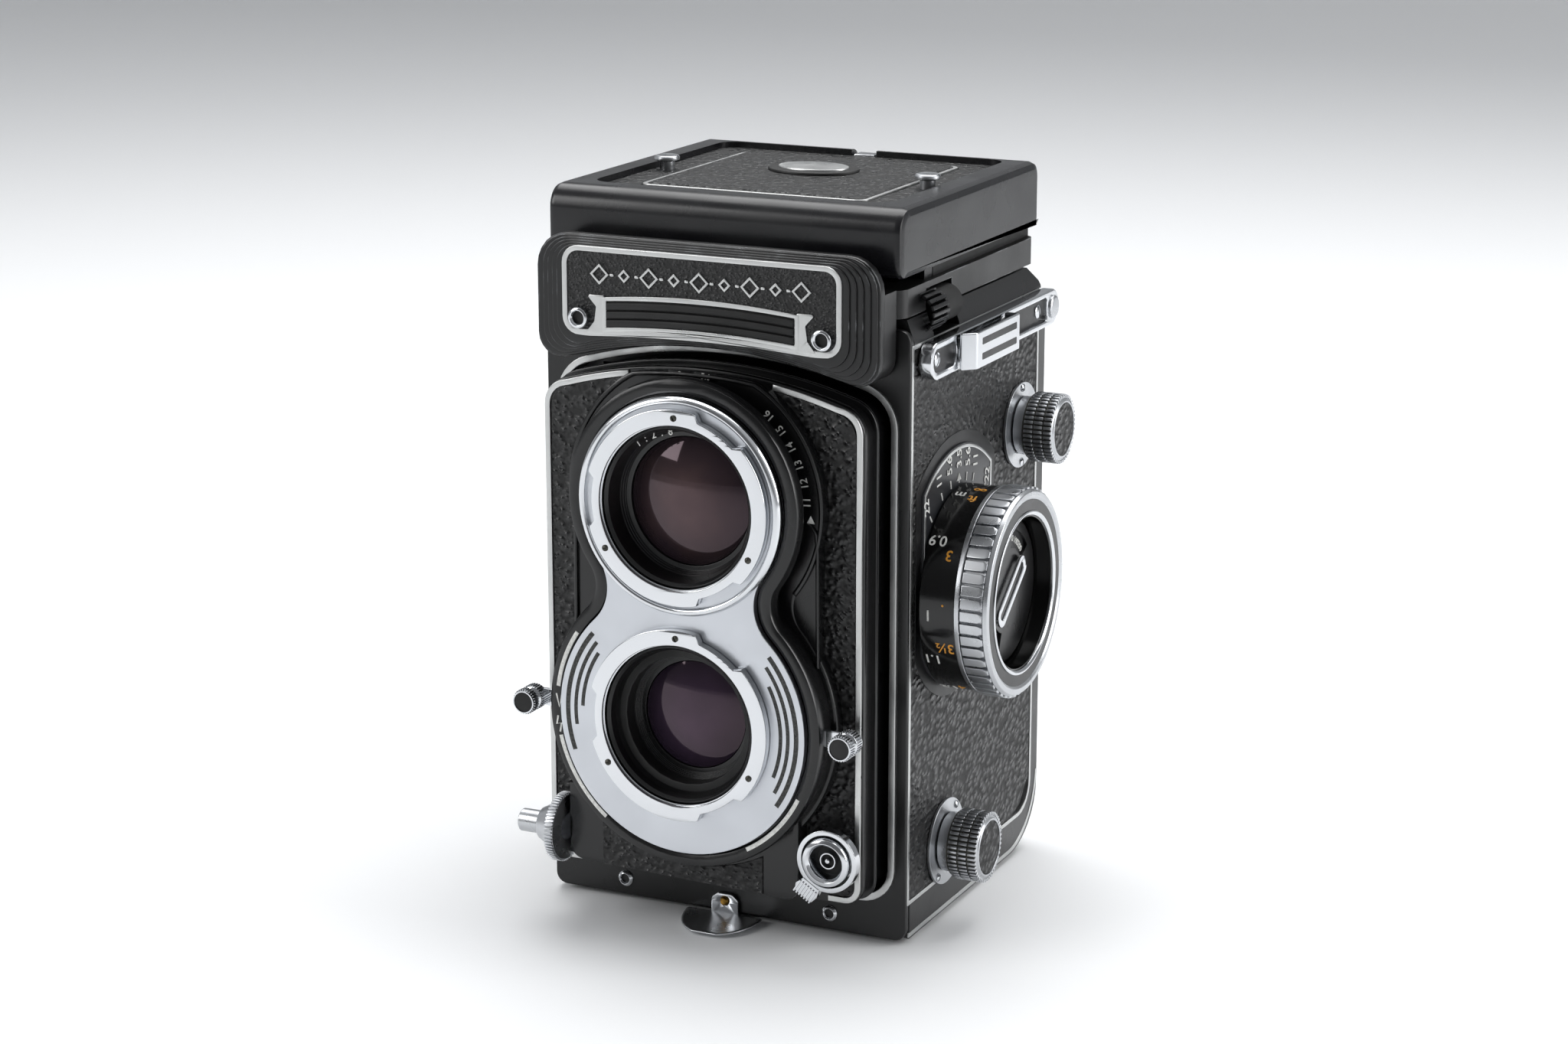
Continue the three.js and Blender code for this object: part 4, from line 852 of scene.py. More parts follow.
INLAY = enamel("lug_inlay", "161617", 0.38)
for side, name in ((1, "right"), (-1, "left")):
    low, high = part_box(f"strap_lug_{name}")
    y0, y1, z0, z1 = low.y / MM, high.y / MM, low.z / MM, high.z / MM
    sole = min(abs(low.x), abs(high.x)) / MM
    top = max(abs(low.x), abs(high.x)) / MM
    half = (z1 - z0) / 2

    def level(a, b):
        return sorted((side * a, side * b))

    rim_outer = rounded_box(y0, y1, z0, z1, half - 0.1)
    front_gap = rounded_box(y0 + 1.5, y0 + 12.5, z0 + 1.4, z1 - 1.4, 2.0)
    rear_gap = rounded_box(y0 + 34, y1 - 6.2, z0 + 1.3, z1 - 1.3, 1.0)
    rim = stamped(f"lug_frame_{name}", [rim_outer, front_gap, rear_gap], "X", *level(sole, top), 0.35)
    settle(rim, CHROME, "body", [f"strap_lug_{name}"])
    sheet = stamped(f"lug_inlay_{name}", [rounded_box(y0 + 1, y1 - 5.8, z0 + 1, z1 - 1, 2.0)], "X",
                    *level(sole + 0.1, top - 0.9), 0.05)
    settle(sheet, INLAY, "body")
    spots = [(y0 + 4.6, z0 + half, 65), (y1 - 9.6, z0 + half, 100)]
    heads = [slotted_screw((side * (top - 0.95), y, z), 1.35, "X", side, turn) for y, z, turn in spots]
    settle(joined(f"lug_screws_{name}", heads), CHROME, "body")
    button = [(0, top - 0.2), (2.3, top - 0.2), (2.3, top + 0.35), (1.9, top + 0.6), (0, top + 0.62)]
    boss = turned(f"lug_button_{name}", [(r, side * t) for r, t in button], "X", (0, y1 - 3.3, z0 + half),
                  48, 0.15)
    settle(boss, SATIN_CHROME, "body")

    low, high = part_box(f"strap_clip_{name}")
    c0, c1 = low.y / MM, high.y / MM
    out = max(abs(low.x), abs(high.x)) / MM
    profile_out = rounded([(c0 - 0.2, top + 0.3), (c0 + 2.6, out), (c1, out), (c1, top + 0.3)],
                          [0.4, 1.0, 0.5, 0.2])
    profile_in = [(c1 - 1.2, top + 0.3), (c1 - 1.2, out - 0.8), (c0 + 3.4, out - 0.8), (c0 + 1.4, top + 0.3)]
    bridge = stamped(f"lug_bridge_{name}", [[(side * x, y) for y, x in profile_out + profile_in]], "Z",
                     z0 + 0.1, z1 - 0.1, 0.3)
    settle(bridge, CHROME, f"strap_clip_{name}", [f"strap_clip_{name}"])
    for row in (-1, 1):
        middle_z = z0 + half + row * 1.45
        stripe = rounded_box(c0 + 5.0, c1 - 1.8, middle_z - 0.65, middle_z + 0.65, 0.25)
        mark = stamped(f"lug_stripe_{name}_{'low' if row < 0 else 'high'}", [stripe], "X",
                       *level(out - 0.15, out + 0.03), 0.01)
        settle(mark, INLAY, f"strap_clip_{name}")

# ---- winding crank ----
# A folding crank on the left side winds the film. A chromed arm with a domed hub turns on a black
# plate, and a small black knob spins at its end.

refined("crank_plate", WORN_ENAMEL, 0.3)
refined("winding_crank", CHROME, 0.35)
refined("crank_knob", MATT_BLACK, 0.3)
low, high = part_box("crank_plate")
crank_hub = (0, (low.y + high.y) / 2 / MM, (low.z + high.z) / 2 / MM)
crank_face = low.x / MM
line = turned("crank_plate_line", hoop(13.2, 13.9, crank_face - 0.04, crank_face + 0.3), "X", crank_hub, 96)
settle(line, NICKEL_LINE, "body")
hub_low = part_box("winding_crank")[0].x / MM
crank_screw = slotted_screw((hub_low + 0.1, crank_hub[1], crank_hub[2]), 2.2, "X", -1, 30)
settle(crank_screw, CHROME, "winding_crank")
crank_screw.name = "crank_screw"

# ---- hood base, roller, mirror and screen ----
# The hood unit drops on to the shoulder and is freed by turning a ribbed roller at the right. Below
# it lie the ground glass and the surface-silvered mirror.


def glassy(name, colour, roughness, specular_tint, coat):
    material, tree, shader = new_finish(name, colour, roughness)
    shader.inputs["IOR"].default_value = 1.6
    shader.inputs["Specular Tint"].default_value = rgb(specular_tint)
    shader.inputs["Coat Weight"].default_value = coat
    shader.inputs["Coat Roughness"].default_value = 0.02
    return material, tree, shader


GROUND_GLASS = glassy("ground_glass", "b9beb8", 0.5, "ffffff", 0.0)[0]
MIRROR = plated("surface_silvered_mirror", "eef0f2", 0.03, 5, 0.0005)
refined("hood_base", WORN_ENAMEL, 0.2)
refined("mirror", MIRROR, 0.1)
refined("focusing_screen", GROUND_GLASS, 0.15)

low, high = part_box("catch_roller")
roller_x = (low.x + high.x) / 2 / MM
roller_z = (low.z + high.z) / 2 / MM
roller_r = (high.z - low.z) / 2 / MM
roller = turned("roller_core", [(0, low.y / MM), (roller_r - 0.55, low.y / MM),
                                (roller_r - 0.55, high.y / MM), (0, high.y / MM)], "Y",
                (roller_x, 0, roller_z), 48, 0.1)
settle(roller, MATT_BLACK, "catch_roller", ["catch_roller"])
length = (high.y - low.y) / MM
rib = stamped("rib", [[(-0.42, -length), (0.42, -length), (0.42, 0), (-0.42, 0)]], "Z", roller_r - 0.75,
              roller_r, 0.2)
rib.data.transform(Matrix(((0, 0, 1, 0), (1, 0, 0, 0), (0, 1, 0, 0), (0, 0, 0, 1))))
ribs = ring_of("roller_ribs", rib, 18, "Y", (roller_x, low.y / MM, roller_z))
settle(ribs, BLACK_ENAMEL, "catch_roller")

# ---- nameplate housing ----
# A die-cast black housing over the lens board holds the light meter. Its ends are stepped in five
# ribs. A bright outline frames a plain frieze and the black ribbed cover of the meter cells.

NAME_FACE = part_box("nameplate_housing")[0].y / MM
NAME_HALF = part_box("nameplate_housing")[1].x / MM
NAME_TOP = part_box("nameplate_housing")[1].z / MM
STEPS = 5


def over_arch(x, lift):
    """Height of a line that runs lift above the arch of the opening."""
    return BOARD_HIGH - BOARD_ARCH + math.sqrt((BOARD_ARCH + lift) ** 2 - x ** 2)


def name_layer(inset):
    """One step of the housing, as an outline that follows the arch along its lower edge."""
    half = NAME_HALF - inset
    foot = AXIS + 64.2 + inset * 0.55
    top = NAME_TOP - inset * 0.32
    lower = [(x, over_arch(x, 3.4 + inset * 0.4)) for x in [half * (i / 12 - 1) for i in range(25)]]
    lower = [(x, z) for x, z in lower if z > foot + 0.4 and abs(x) < half - 7]
    return rounded([(half, foot), (half, top), (-half, top), (-half, foot)] + lower,
                   [4.5] + [6.6 - inset * 0.5] * 2 + [4.5] + [0] * len(lower))


NAME_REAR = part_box("nameplate_housing")[1].y / MM
block_piece = stamped("name_block", [name_layer(0)], "Y", NAME_FACE + 2.1, NAME_FACE + 4.3, 0.5)
settle(block_piece, WORN_ENAMEL, "body", ["nameplate_housing"])
saddle = [(x, min(z, AXIS + 82.3)) for x, z in name_layer(0)]
settle(stamped("name_saddle", [saddle], "Y", NAME_FACE + 3.6, NAME_REAR, 0.2), WORN_ENAMEL, "body")
for i in range(STEPS):
    inset = 0.5 + i * 1.2
    layer = stamped(f"name_step_{i + 1}", [name_layer(inset)], "Y", NAME_FACE + 1.72 - 0.43 * i,
                    NAME_FACE + 3.4, 0.3)
    settle(layer, WORN_ENAMEL, "body")
PANEL = NAME_FACE + 0.05


def bowed(half, low, high, bow, radius):
    """A frame outline whose lower edge bows upwards with the arch."""
    lower = [(half * (i / 8 - 1), low + bow * (1 - (i / 8 - 1) ** 2)) for i in range(1, 16)]
    return rounded([(half, low), (half, high), (-half, high), (-half, low)] + lower,
                   [radius] * 4 + [0] * len(lower))


outline = stamped("name_outline", [bowed(28.8, AXIS + 70.3, AXIS + 87.5, 1.0, 3.4),
                                   bowed(27.7, AXIS + 71.5, AXIS + 86.5, 1.0, 2.4)], "Y", PANEL - 0.35,
                  PANEL + 0.4, 0.15)
settle(outline, NICKEL_LINE, "body")
NAME_GROUND = leatherette("fine_black_crackle", "121213", 0.5)
ground = stamped("name_ground", [bowed(27.9, AXIS + 71.3, AXIS + 86.7, 1.0, 2.4)], "Y", PANEL - 0.12,
                 PANEL + 0.4, 0.05)
settle(ground, NAME_GROUND, "body")

CELL_HALF = 19.4


def cell_band(low, high):
    """A band over the meter cells, bowed as the arch is."""
    steps = [CELL_HALF * (i / 10 - 1) for i in range(21)]
    top = [(x, AXIS + high + 0.9 * (1 - (x / CELL_HALF) ** 2)) for x in steps]
    foot = [(x, AXIS + low + 0.9 * (1 - (x / CELL_HALF) ** 2)) for x in steps]
    return foot + top[::-1]


def scaled(points, grow):
    """An outline pushed outwards all round by grow."""
    us = [p[0] for p in points]
    vs = [p[1] for p in points]
    cu = (min(us) + max(us)) / 2
    cv = (min(vs) + max(vs)) / 2
    fu = 1 + 2 * grow / (max(us) - min(us))
    fv = 1 + 2 * grow / (max(vs) - min(vs))
    return [(cu + (u - cu) * fu, cv + (v - cv) * fv) for u, v in points]


window = cell_band(72.4, 77.4)
frame_piece = stamped("cell_frame", [scaled(window, 0.95), window], "Y", PANEL - 0.45, PANEL + 0.4, 0.15)
settle(frame_piece, NICKEL_LINE, "body")
for side in (-1, 1):
    tab = rounded([(side * 19.8, AXIS + 71.0), (side * 24.0, AXIS + 70.9), (side * 22.0, AXIS + 73.4),
                   (side * 21.6, AXIS + 76.2), (side * 23.6, AXIS + 78.4),
                   (side * 19.8, AXIS + 78.4)][::side], 0.35)
    piece = stamped(f"cell_tab_{'left' if side < 0 else 'right'}", [tab], "Y", PANEL - 0.4, PANEL + 0.4, 0.12)
    settle(piece, NICKEL_LINE, "body")
cover = joined("cell_cover", [stamped("cell_back", [window], "Y", PANEL - 0.2, PANEL + 0.3, 0.05)]
               + [stamped("cell_rib", [cell_band(72.55 + 1.6 * i, 73.95 + 1.6 * i)], "Y", PANEL - 0.85,
                          PANEL, 0.4) for i in range(3)])
settle(cover, MATT_BLACK, "body", ["meter_cell_cover"])
screws = []
bores = []
for side in (-1, 1):
    spot = (side * 25.1, 0, AXIS + 73.9)
    ring = [(1.15, PANEL), (1.15, PANEL - 1.1), (1.5, PANEL - 1.5), (2.0, PANEL - 1.3), (2.0, PANEL),
            (1.15, PANEL)]
    screws.append(turned("screw", ring, "Y", spot, 48, 0.15))
    bores.append(turned("bore", [(0, PANEL - 0.5), (1.14, PANEL - 0.5), (1.14, PANEL), (0, PANEL)], "Y",
                        spot, 32))
settle(joined("name_screws", screws), CHROME, "body")
settle(joined("name_screw_bores", bores), MATT_BLACK, "body")
frieze = []
for i in range(-4, 5):
    x = i * 5.2
    height = 2.0 if i % 2 == 0 else 1.3
    outer = [(x - height, AXIS + 82.4), (x, AXIS + 82.4 - height), (x + height, AXIS + 82.4),
             (x, AXIS + 82.4 + height)]
    frieze.append(stamped("lozenge", [outer, scaled(outer, -0.62)], "Y", PANEL - 0.42, PANEL, 0.1))
for i in range(-4, 4):
    x = (i + 0.5) * 5.2
    frieze.append(stamped("dash", [rounded_box(x - 0.42, x + 0.42, AXIS + 82.15, AXIS + 82.65, 0.2)],
                          "Y", PANEL - 0.4, PANEL, 0.1))
settle(joined("name_frieze", frieze), NICKEL_LINE, "body")

# ---- hood lid ----
# The lid is pressed from brass sheet and enamelled. Its front edge is rolled round the hinge. A
# grained panel is let into the top, with a square finder flap, a badge and two slotted studs.

LID_ENAMEL = enamel("satin_black_enamel", "101013", 0.26)
low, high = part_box("hood_lid")
LID_HALF = high.x / MM
LID_REAR = high.y / MM
LID_TOP = high.z / MM
LID_LOW = AXIS + 83.8
LID_NOSE = low.y / MM
side_view = rounded([(LID_NOSE, LID_LOW), (LID_REAR, LID_LOW), (LID_REAR, LID_TOP), (LID_NOSE, LID_TOP)],
                    [3.0, 0.3, 3.0, 4.4], 8)
pocket_view = rounded([(LID_NOSE + 1.2, LID_LOW - 3), (LID_REAR - 1.2, LID_LOW - 3),
                       (LID_REAR - 1.2, AXIS + 94.2), (LID_NOSE + 1.2, AXIS + 94.2)], [0.5, 0.2, 1.8, 3.2], 8)
low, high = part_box("finder_flap")
FLAP = (low.x / MM, high.x / MM, low.y / MM, high.y / MM)
FLAP_TOP = high.z / MM
RECESS = (-31, 31, FRONT + 26.4, FRONT + 84.4)
lid = stamped("hood_lid_shell", [side_view], "X", -LID_HALF, LID_HALF, 1.5)
carve(lid, stamped("pocket", [pocket_view], "X", -LID_HALF + 1.2, LID_HALF - 1.2, 0.1),
      stamped("recess", [rounded_box(*RECESS, 3.6)], "Z", FLAP_TOP - 0.2, FLAP_TOP + 4, 0.1),
      stamped("window", [rounded_box(FLAP[0] - 0.3, FLAP[1] + 0.3, FLAP[2] - 0.3, FLAP[3] + 0.3, 2.4)],
              "Z", FLAP_TOP - 4, FLAP_TOP + 4, 0.1),
      block(-2.7, 2.7, FRONT + 83, FRONT + 92, AXIS + 94.8, AXIS + 99))
settle(lid, LID_ENAMEL, "hood_lid", ["hood_lid"])
lid_skin_hole = rounded_box(FLAP[0] - 0.2, FLAP[1] + 0.2, FLAP[2] - 0.2, FLAP[3] + 0.2, 2.4)
stud_y = (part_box("lid_stud_left")[0].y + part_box("lid_stud_left")[1].y) / 2 / MM
stud_x = (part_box("lid_stud_right")[0].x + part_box("lid_stud_right")[1].x) / 2 / MM
skin = stamped("lid_leatherette",
               [rounded_box(RECESS[0] + 0.1, RECESS[1] - 0.1, RECESS[2] + 0.1, RECESS[3] - 0.1, 3.5),
                lid_skin_hole], "Z", FLAP_TOP - 0.5, FLAP_TOP + 0.05, 0.15)
settle(skin, LEATHERETTE, "hood_lid")
flap_line = stamped("flap_line", [rounded_box(FLAP[0], FLAP[1], FLAP[2], FLAP[3], 2.2),
                                  rounded_box(FLAP[0] + 0.9, FLAP[1] - 0.9, FLAP[2] + 0.9, FLAP[3] - 0.9,
                                              1.5)], "Z", FLAP_TOP - 1, FLAP_TOP + 0.35, 0.15)
settle(flap_line, NICKEL_LINE, "finder_flap")
flap = stamped("finder_flap_panel",
               [rounded_box(FLAP[0] + 0.8, FLAP[1] - 0.8, FLAP[2] + 0.8, FLAP[3] - 0.8, 1.6)], "Z",
               FLAP_TOP - 1.5, FLAP_TOP + 0.55, 0.55)
settle(flap, LEATHERETTE, "finder_flap", ["finder_flap"])


def ellipse(cx, cy, rx, ry, steps=64):
    return [(cx + rx * math.cos(2 * math.pi * i / steps), cy + ry * math.sin(2 * math.pi * i / steps))
            for i in range(steps)]


BADGE_Y = FRONT + 60.5
surround = stamped("badge_surround", [ellipse(0, BADGE_Y, 9.3, 7.2)], "Z", FLAP_TOP + 0.3, FLAP_TOP + 1.15,
                   0.4)
settle(surround, MATT_BLACK, "finder_flap")
badge = stamped("lid_badge", [ellipse(0, BADGE_Y, 7.2, 5.2)], "Z", FLAP_TOP + 0.8, FLAP_TOP + 1.45, 0.2)
settle(badge, NICKEL_LINE, "finder_flap")

for side, name in ((-1, "left"), (1, "right")):
    low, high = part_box(f"lid_stud_{name}")
    top = high.z / MM
    foot = FLAP_TOP - 0.2
    stud = turned(f"stud_{name}", [(0, low.z / MM), (1, low.z / MM), (1, foot), (1.5, foot),
                                   (1.5, top - 1.1), (2.5, top - 0.9), (2.5, top - 0.3), (2.2, top),
                                   (0, top)], "Z", (side * stud_x, stud_y, 0), 56, 0.12)
    slot = block(side * stud_x - 3, side * stud_x + 3, stud_y - 0.25, stud_y + 0.25, top - 0.5, top + 1)
    settle(carve(stud, slot), SATIN_CHROME, "hood_lid", [f"lid_stud_{name}"])
# Matt black strips close the gap between the lid and the hood base: a dark sheet standing in for the shade in
# that gap.
gap_shade = [block(side * 34.65 - 0.35, side * 34.65 + 0.35, FRONT + 38, LID_REAR - 1.9, AXIS + 81.8, AXIS + 85.2)
        for side in (-1, 1)]
gap_shade.append(block(-34.9, 34.9, LID_REAR - 2.4, LID_REAR - 1.9, AXIS + 81.8, AXIS + 85.2))
settle(joined("hood_gap_painted_shade", gap_shade), MATT_BLACK, "body")
catch = stamped("rear_catch", [rounded_box(-2.3, 2.3, FRONT + 84.2, FRONT + 87.4, 0.4)], "Z", AXIS + 94.6,
                AXIS + 96.2, 0.3)
settle(catch, CHROME, "hood_lid")
for leaf in ("left", "right", "rear"):
    refined(f"hood_leaf_{leaf}", MATT_BLACK, 0.15)
refined("magnifier_frame", MATT_BLACK, 0.25)
CLEAR_COATED = glassy("magnifier_glass", "3c4a52", 0.05, "ffffff", 0.5)[0]
refined("magnifier_lens", CLEAR_COATED, 0.0)

# ---- lens board ----
# The lens board slides out of the body on a deep skirt to focus. Its face is grained at the
# corners, with a bright strip let in down each side and over each top corner.

BOARD_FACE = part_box("lens_board")[0].y / MM
SKIRT_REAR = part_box("lens_board")[1].y / MM
SKIRT_GLOSS = enamel("glossy_black_enamel", "0a0a0b", 0.2)
SHUTTER_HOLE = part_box("shutter_case")[1].x / MM + 0.3
board = stamped("board_plate", [arched(0), arc(0, AXIS, SHUTTER_HOLE, 0, 360, 72)[:-1],
                                arc(0, VIEW, 16, 0, 360, 72)[:-1]], "Y", BOARD_FACE, BOARD_FACE + 1.7, 0.5)
settle(board, SKIRT_GLOSS, "front_standard", ["lens_board"])
skirt = stamped("board_skirt", [arched(-0.4), arched(-1.9, 3, 5)], "Y", BOARD_FACE + 1.3, SKIRT_REAR, 0.3)
settle(skirt, SKIRT_GLOSS, "front_standard")
step = stamped("board_step", [arched(0.45, 4.2, 6.4), arched(-1.6)], "Y", BOARD_FACE + 4.6,
               BOARD_FACE + 5.6, 0.3)
settle(step, SKIRT_GLOSS, "front_standard")
face_skin = stamped("board_leatherette", [arched(-1.7, 2.6, 4.6), arc(0, VIEW, 22, 0, 360, 72)[:-1],
                                          arc(0, AXIS, 24, 0, 360, 72)[:-1]],
                    "Y", BOARD_FACE - 0.28, BOARD_FACE + 0.2, 0.08)
settle(face_skin, LEATHERETTE, "front_standard")
TRIM = 1.15


def board_top(x):
    """Height of the trim's middle line over the board's arched top."""
    radius = BOARD_ARCH - 1.0
    return BOARD_HIGH - BOARD_ARCH + math.sqrt(radius ** 2 - x ** 2)


for side, name in ((1, "right"), (-1, "left")):
    out = BOARD_HALF - 0.95
    top_run = [(side * x, board_top(x)) for x in [14.9 + (out - 4.6 - 14.9) * i / 8 for i in range(9)]]
    bend = arc(out - 4.4, board_top(out - 4.4) - 4.5, 4.4, 80, 0, 8)
    foot = arc(out - 2.6, BOARD_LOW + 3.7, 2.6, 0, -90, 6) + [(out - 6.0, BOARD_LOW + 1.1)]
    line = top_run + [(side * x, z) for x, z in bend] + [(side * x, z) for x, z in foot]
    trim = stamped(f"board_trim_{name}", [strip(line, TRIM)], "Y", BOARD_FACE - 0.55, BOARD_FACE + 0.2, 0.18)
    settle(trim, NICKEL_LINE, "front_standard")

# ---- lens housing ----
# One black casting in the shape of an eight joins both lenses. It rises from the board in rounded
# beads. Exposure numbers are engraved beside the viewing lens, and small windows lie above it.


def eight(low_radius, high_radius, fillet, steps=40):
    """Two discs joined by a waist of round fillets, as (X, Z)."""
    near = low_radius + fillet
    far = high_radius + fillet
    rise = (near ** 2 - far ** 2 + SPACING ** 2) / (2 * SPACING)
    out = math.sqrt(near ** 2 - rise ** 2)
    low_turn = math.degrees(math.atan2(rise, out))
    high_turn = math.degrees(math.atan2(rise - SPACING, out))
    right = arc(out, AXIS + rise, fillet, 180 + low_turn, 180 + high_turn, 14)
    left = [(-x, z) for x, z in right[::-1]]
    return (arc(0, AXIS, low_radius, -180 - low_turn, low_turn, steps * 2)[:-1] + right[:-1]
            + arc(0, VIEW, high_radius, high_turn, 180 - high_turn, steps)[:-1] + left[:-1])


HOUSING_FRONT = FRONT + 3.6
RIM_LOW = 28.4
RIM_HIGH = 23.9
HOUSING_BLACK = enamel("housing_black_enamel", "0b0b0c", 0.24)
eyes = [arc(0, AXIS, SHUTTER_HOLE, 0, 360, 72)[:-1], arc(0, VIEW, 16, 0, 360, 72)[:-1]]
neck = stamped("housing_wall", [eight(RIM_LOW - 0.3, RIM_HIGH - 1.9, 7)] + eyes, "Y", HOUSING_FRONT,
               BOARD_FACE, 0.3)
settle(neck, HOUSING_BLACK, "front_standard", ["lens_housing"])
rim = stamped("housing_rim",
              [eight(RIM_LOW + 0.1, RIM_HIGH, 6.5), eight(RIM_LOW - 2.5, RIM_HIGH - 2.9, 9)], "Y",
              FRONT + 2.6, FRONT + 6.2, 0.9)
settle(rim, HOUSING_BLACK, "front_standard")


def clipped(points, lift):
    """Points kept below the arch of the board's top."""
    return [(x, min(z, over_arch(x, lift))) for x, z in points]


foot_band = stamped("housing_foot", [clipped(eight(RIM_LOW + 1.0, 26.4, 6), -0.3),
                                     arc(0, AXIS, SHUTTER_HOLE, 0, 360, 72)[:-1],
                                     arc(0, VIEW, 16, 0, 360, 72)[:-1]], "Y", FRONT + 8.4,
                    BOARD_FACE + 0.4, 0.8)
settle(foot_band, HOUSING_BLACK, "front_standard")
bead = stamped("housing_bead",
               [clipped(arc(0, VIEW, 26.5, -38, 218, 90), -0.3) + clipped(arc(0, VIEW, 25.5, 218, -38, 90),
                                                                          -1.2)], "Y", FRONT + 7.9,
               FRONT + 9.4, 0.4)
settle(bead, HOUSING_BLACK, "front_standard")
NUMBER_FACE = FRONT + 8.38
signs = []
for i in range(6):
    turn = 48.5 - i * 8.8
    t = math.radians(turn)
    spot = (23.2 * math.cos(t), NUMBER_FACE, VIEW + 23.2 * math.sin(t))
    signs.append(lettering(str(16 - i), 2.1, on_front(*spot, turn + 90)))
pointer_turn = math.radians(-3.5)
px, pz = 23.9 * math.cos(pointer_turn), VIEW + 23.9 * math.sin(pointer_turn)
signs.append(stamped("pointer", [[(px - 0.8, pz - 0.6), (px + 0.8, pz - 0.6), (px, pz + 0.9)]], "Y",
                     NUMBER_FACE - 0.03, NUMBER_FACE + 0.1, 0.01))
settle(joined("exposure_numbers", signs), WHITE_FILL, "front_standard")

windows = []
marks = []
for turn, text in ((97, "8"), (84, "5.6")):
    t = math.radians(turn)
    x, z = 23.6 * math.cos(t), VIEW + 23.6 * math.sin(t)
    shape = [(x - 2.4, z - 0.8), (x + 2.4, z - 0.8), (x + 2.4, z + 0.8), (x - 2.4, z + 0.8)]
    windows.append(stamped("window", [rounded(shape, 0.4)], "Y", NUMBER_FACE - 0.1, NUMBER_FACE + 0.1, 0.04))
    marks.append(lettering(text, 1.6, on_front(x, NUMBER_FACE - 0.12, z, turn - 90)))
settle(joined("setting_windows", windows), PIANO_BLACK, "front_standard")
settle(joined("setting_numbers", marks), WHITE_FILL, "front_standard")

CHEEK = [(17.5, AXIS + 13), (25.4, AXIS + 11.5), (25.6, AXIS + 35.0), (24.0, AXIS + 38.6),
         (22.0, AXIS + 40.2), (16.5, AXIS + 34)]
for side, name in ((1, "right"), (-1, "left")):
    shape = rounded([(side * x, z) for x, z in CHEEK][::side], [0.5, 1.5, 2.5, 1.5, 0.8, 0.5])
    cheek = stamped(f"cheek_{name}", [shape], "Y", FRONT + 8.6, BOARD_FACE + 0.2, 0.5)
    settle(cheek, HOUSING_BLACK, "front_standard")
    ridge_line = [(side * x, z) for x, z in
                  arc(22.9, AXIS + 37.4, 2.2, 120, 10, 6) + [(25.3, AXIS + 34), (25.4, AXIS + 12.4)]]
    ridge = stamped(f"cheek_ridge_{name}", [strip(ridge_line, 0.8)], "Y", FRONT + 7.9, FRONT + 9.2, 0.35)
    settle(ridge, HOUSING_BLACK, "front_standard")

chin_low = rounded([(-27.2, AXIS - 17), (-27.2, AXIS - 32.6), (22.0, AXIS - 34.0), (22.0, AXIS - 17)],
                   [0, 3, 3, 0])
chin = stamped("chin", [chin_low + arc(0, AXIS, 26.5, -40, -140, 24)], "Y", FRONT + 7.2, BOARD_FACE + 0.2,
               0.7)
settle(chin, HOUSING_BLACK, "front_standard")
low_edge = AXIS - 33.3
chin_skin_outline = ([(x, AXIS - math.sqrt(29.6 ** 2 - x ** 2))
                      for x in [-19.6 + 34.2 * i / 16 for i in range(17)]] + [(14.6, low_edge),
                                                                              (-19.6, low_edge + 0.7)])
chin_skin = stamped("chin_leatherette", [chin_skin_outline], "Y", FRONT + 6.9, FRONT + 7.4, 0.1)
settle(chin_skin, LEATHERETTE, "front_standard")

# ---- face plate ----
# The face plate is turned and milled brass under satin chrome. Three black lines curve round each
# side of the taking lens, and white lines run round the black rim.

PLATE_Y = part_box("viewing_bayonet")[1].y / MM + 0.3
LOW_PLATE = 25.65
HIGH_PLATE = 20.8
BORE = 15.7


def sprayed_satin(name, colour):
    """Blasted and chromed brass: an even fine sparkle, with a roughness that varies in soft patches."""
    material, tree, shader = new_finish(name, colour, 0.36, 1.0)
    place = object_place(tree)
    tree.links.new(bump(tree, noise(tree, place, 0.18, 1), 0.003), shader.inputs["Normal"])
    tree.links.new(between(tree, noise(tree, place, 9, 4), 0.3, 0.42), shader.inputs["Roughness"])
    return material


FACE_SATIN = sprayed_satin("blasted_satin_chrome", "c6c9ce")
holes = [arc(0, VIEW, BORE, 0, 360, 96)[:-1], arc(0, AXIS, BORE, 0, 360, 96)[:-1]]
face = stamped("satin_face", [eight(LOW_PLATE, HIGH_PLATE, 9)] + holes, "Y", PLATE_Y, HOUSING_FRONT - 0.2,
               0.15)
settle(face, FACE_SATIN, "front_standard", ["faceplate"])
ring = turned("viewing_ring", [(19.4, PLATE_Y + 0.8), (19.4, PLATE_Y - 0.7), (19.9, PLATE_Y - 1.0),
                               (20.5, PLATE_Y - 0.8), (20.9, PLATE_Y - 0.1), (20.9, PLATE_Y + 0.8),
                               (19.4, PLATE_Y + 0.8)], "Y", (0, 0, VIEW), 144, 0.2)
settle(ring, CHROME, "front_standard")
lines = []
for radius, left, right in ((24.0, (140, 200), (40, -34)), (22.3, (142, 188), (37, -29)),
                            (20.8, (146, 178), (28, -22))):
    for start, end in (left, right):
        lines.append(stamped("line",
                             [strip(arc(0, AXIS, radius, start, end, 24), 0.95 if radius > 23 else 0.75)],
                             "Y", PLATE_Y - 0.03, PLATE_Y + 0.1, 0.01))
settle(joined("face_lines", lines), BLACK_FILL, "front_standard")
RIM_FACE = FRONT + 2.57
lines = []
for start, end in ((146, 172), (193, 232), (-60, -26)):
    lines.append(stamped("line", [strip(arc(0, AXIS, 26.7, start, end, 24), 0.8)], "Y", RIM_FACE,
                         RIM_FACE + 0.1, 0.01))
chevron = [(-26.9, AXIS + 2.2), (-26.3, AXIS - 0.4), (-25.7, AXIS + 2.0)]
lines.append(stamped("chevron", [strip(chevron, 0.35)], "Y", RIM_FACE, RIM_FACE + 0.1, 0.01))
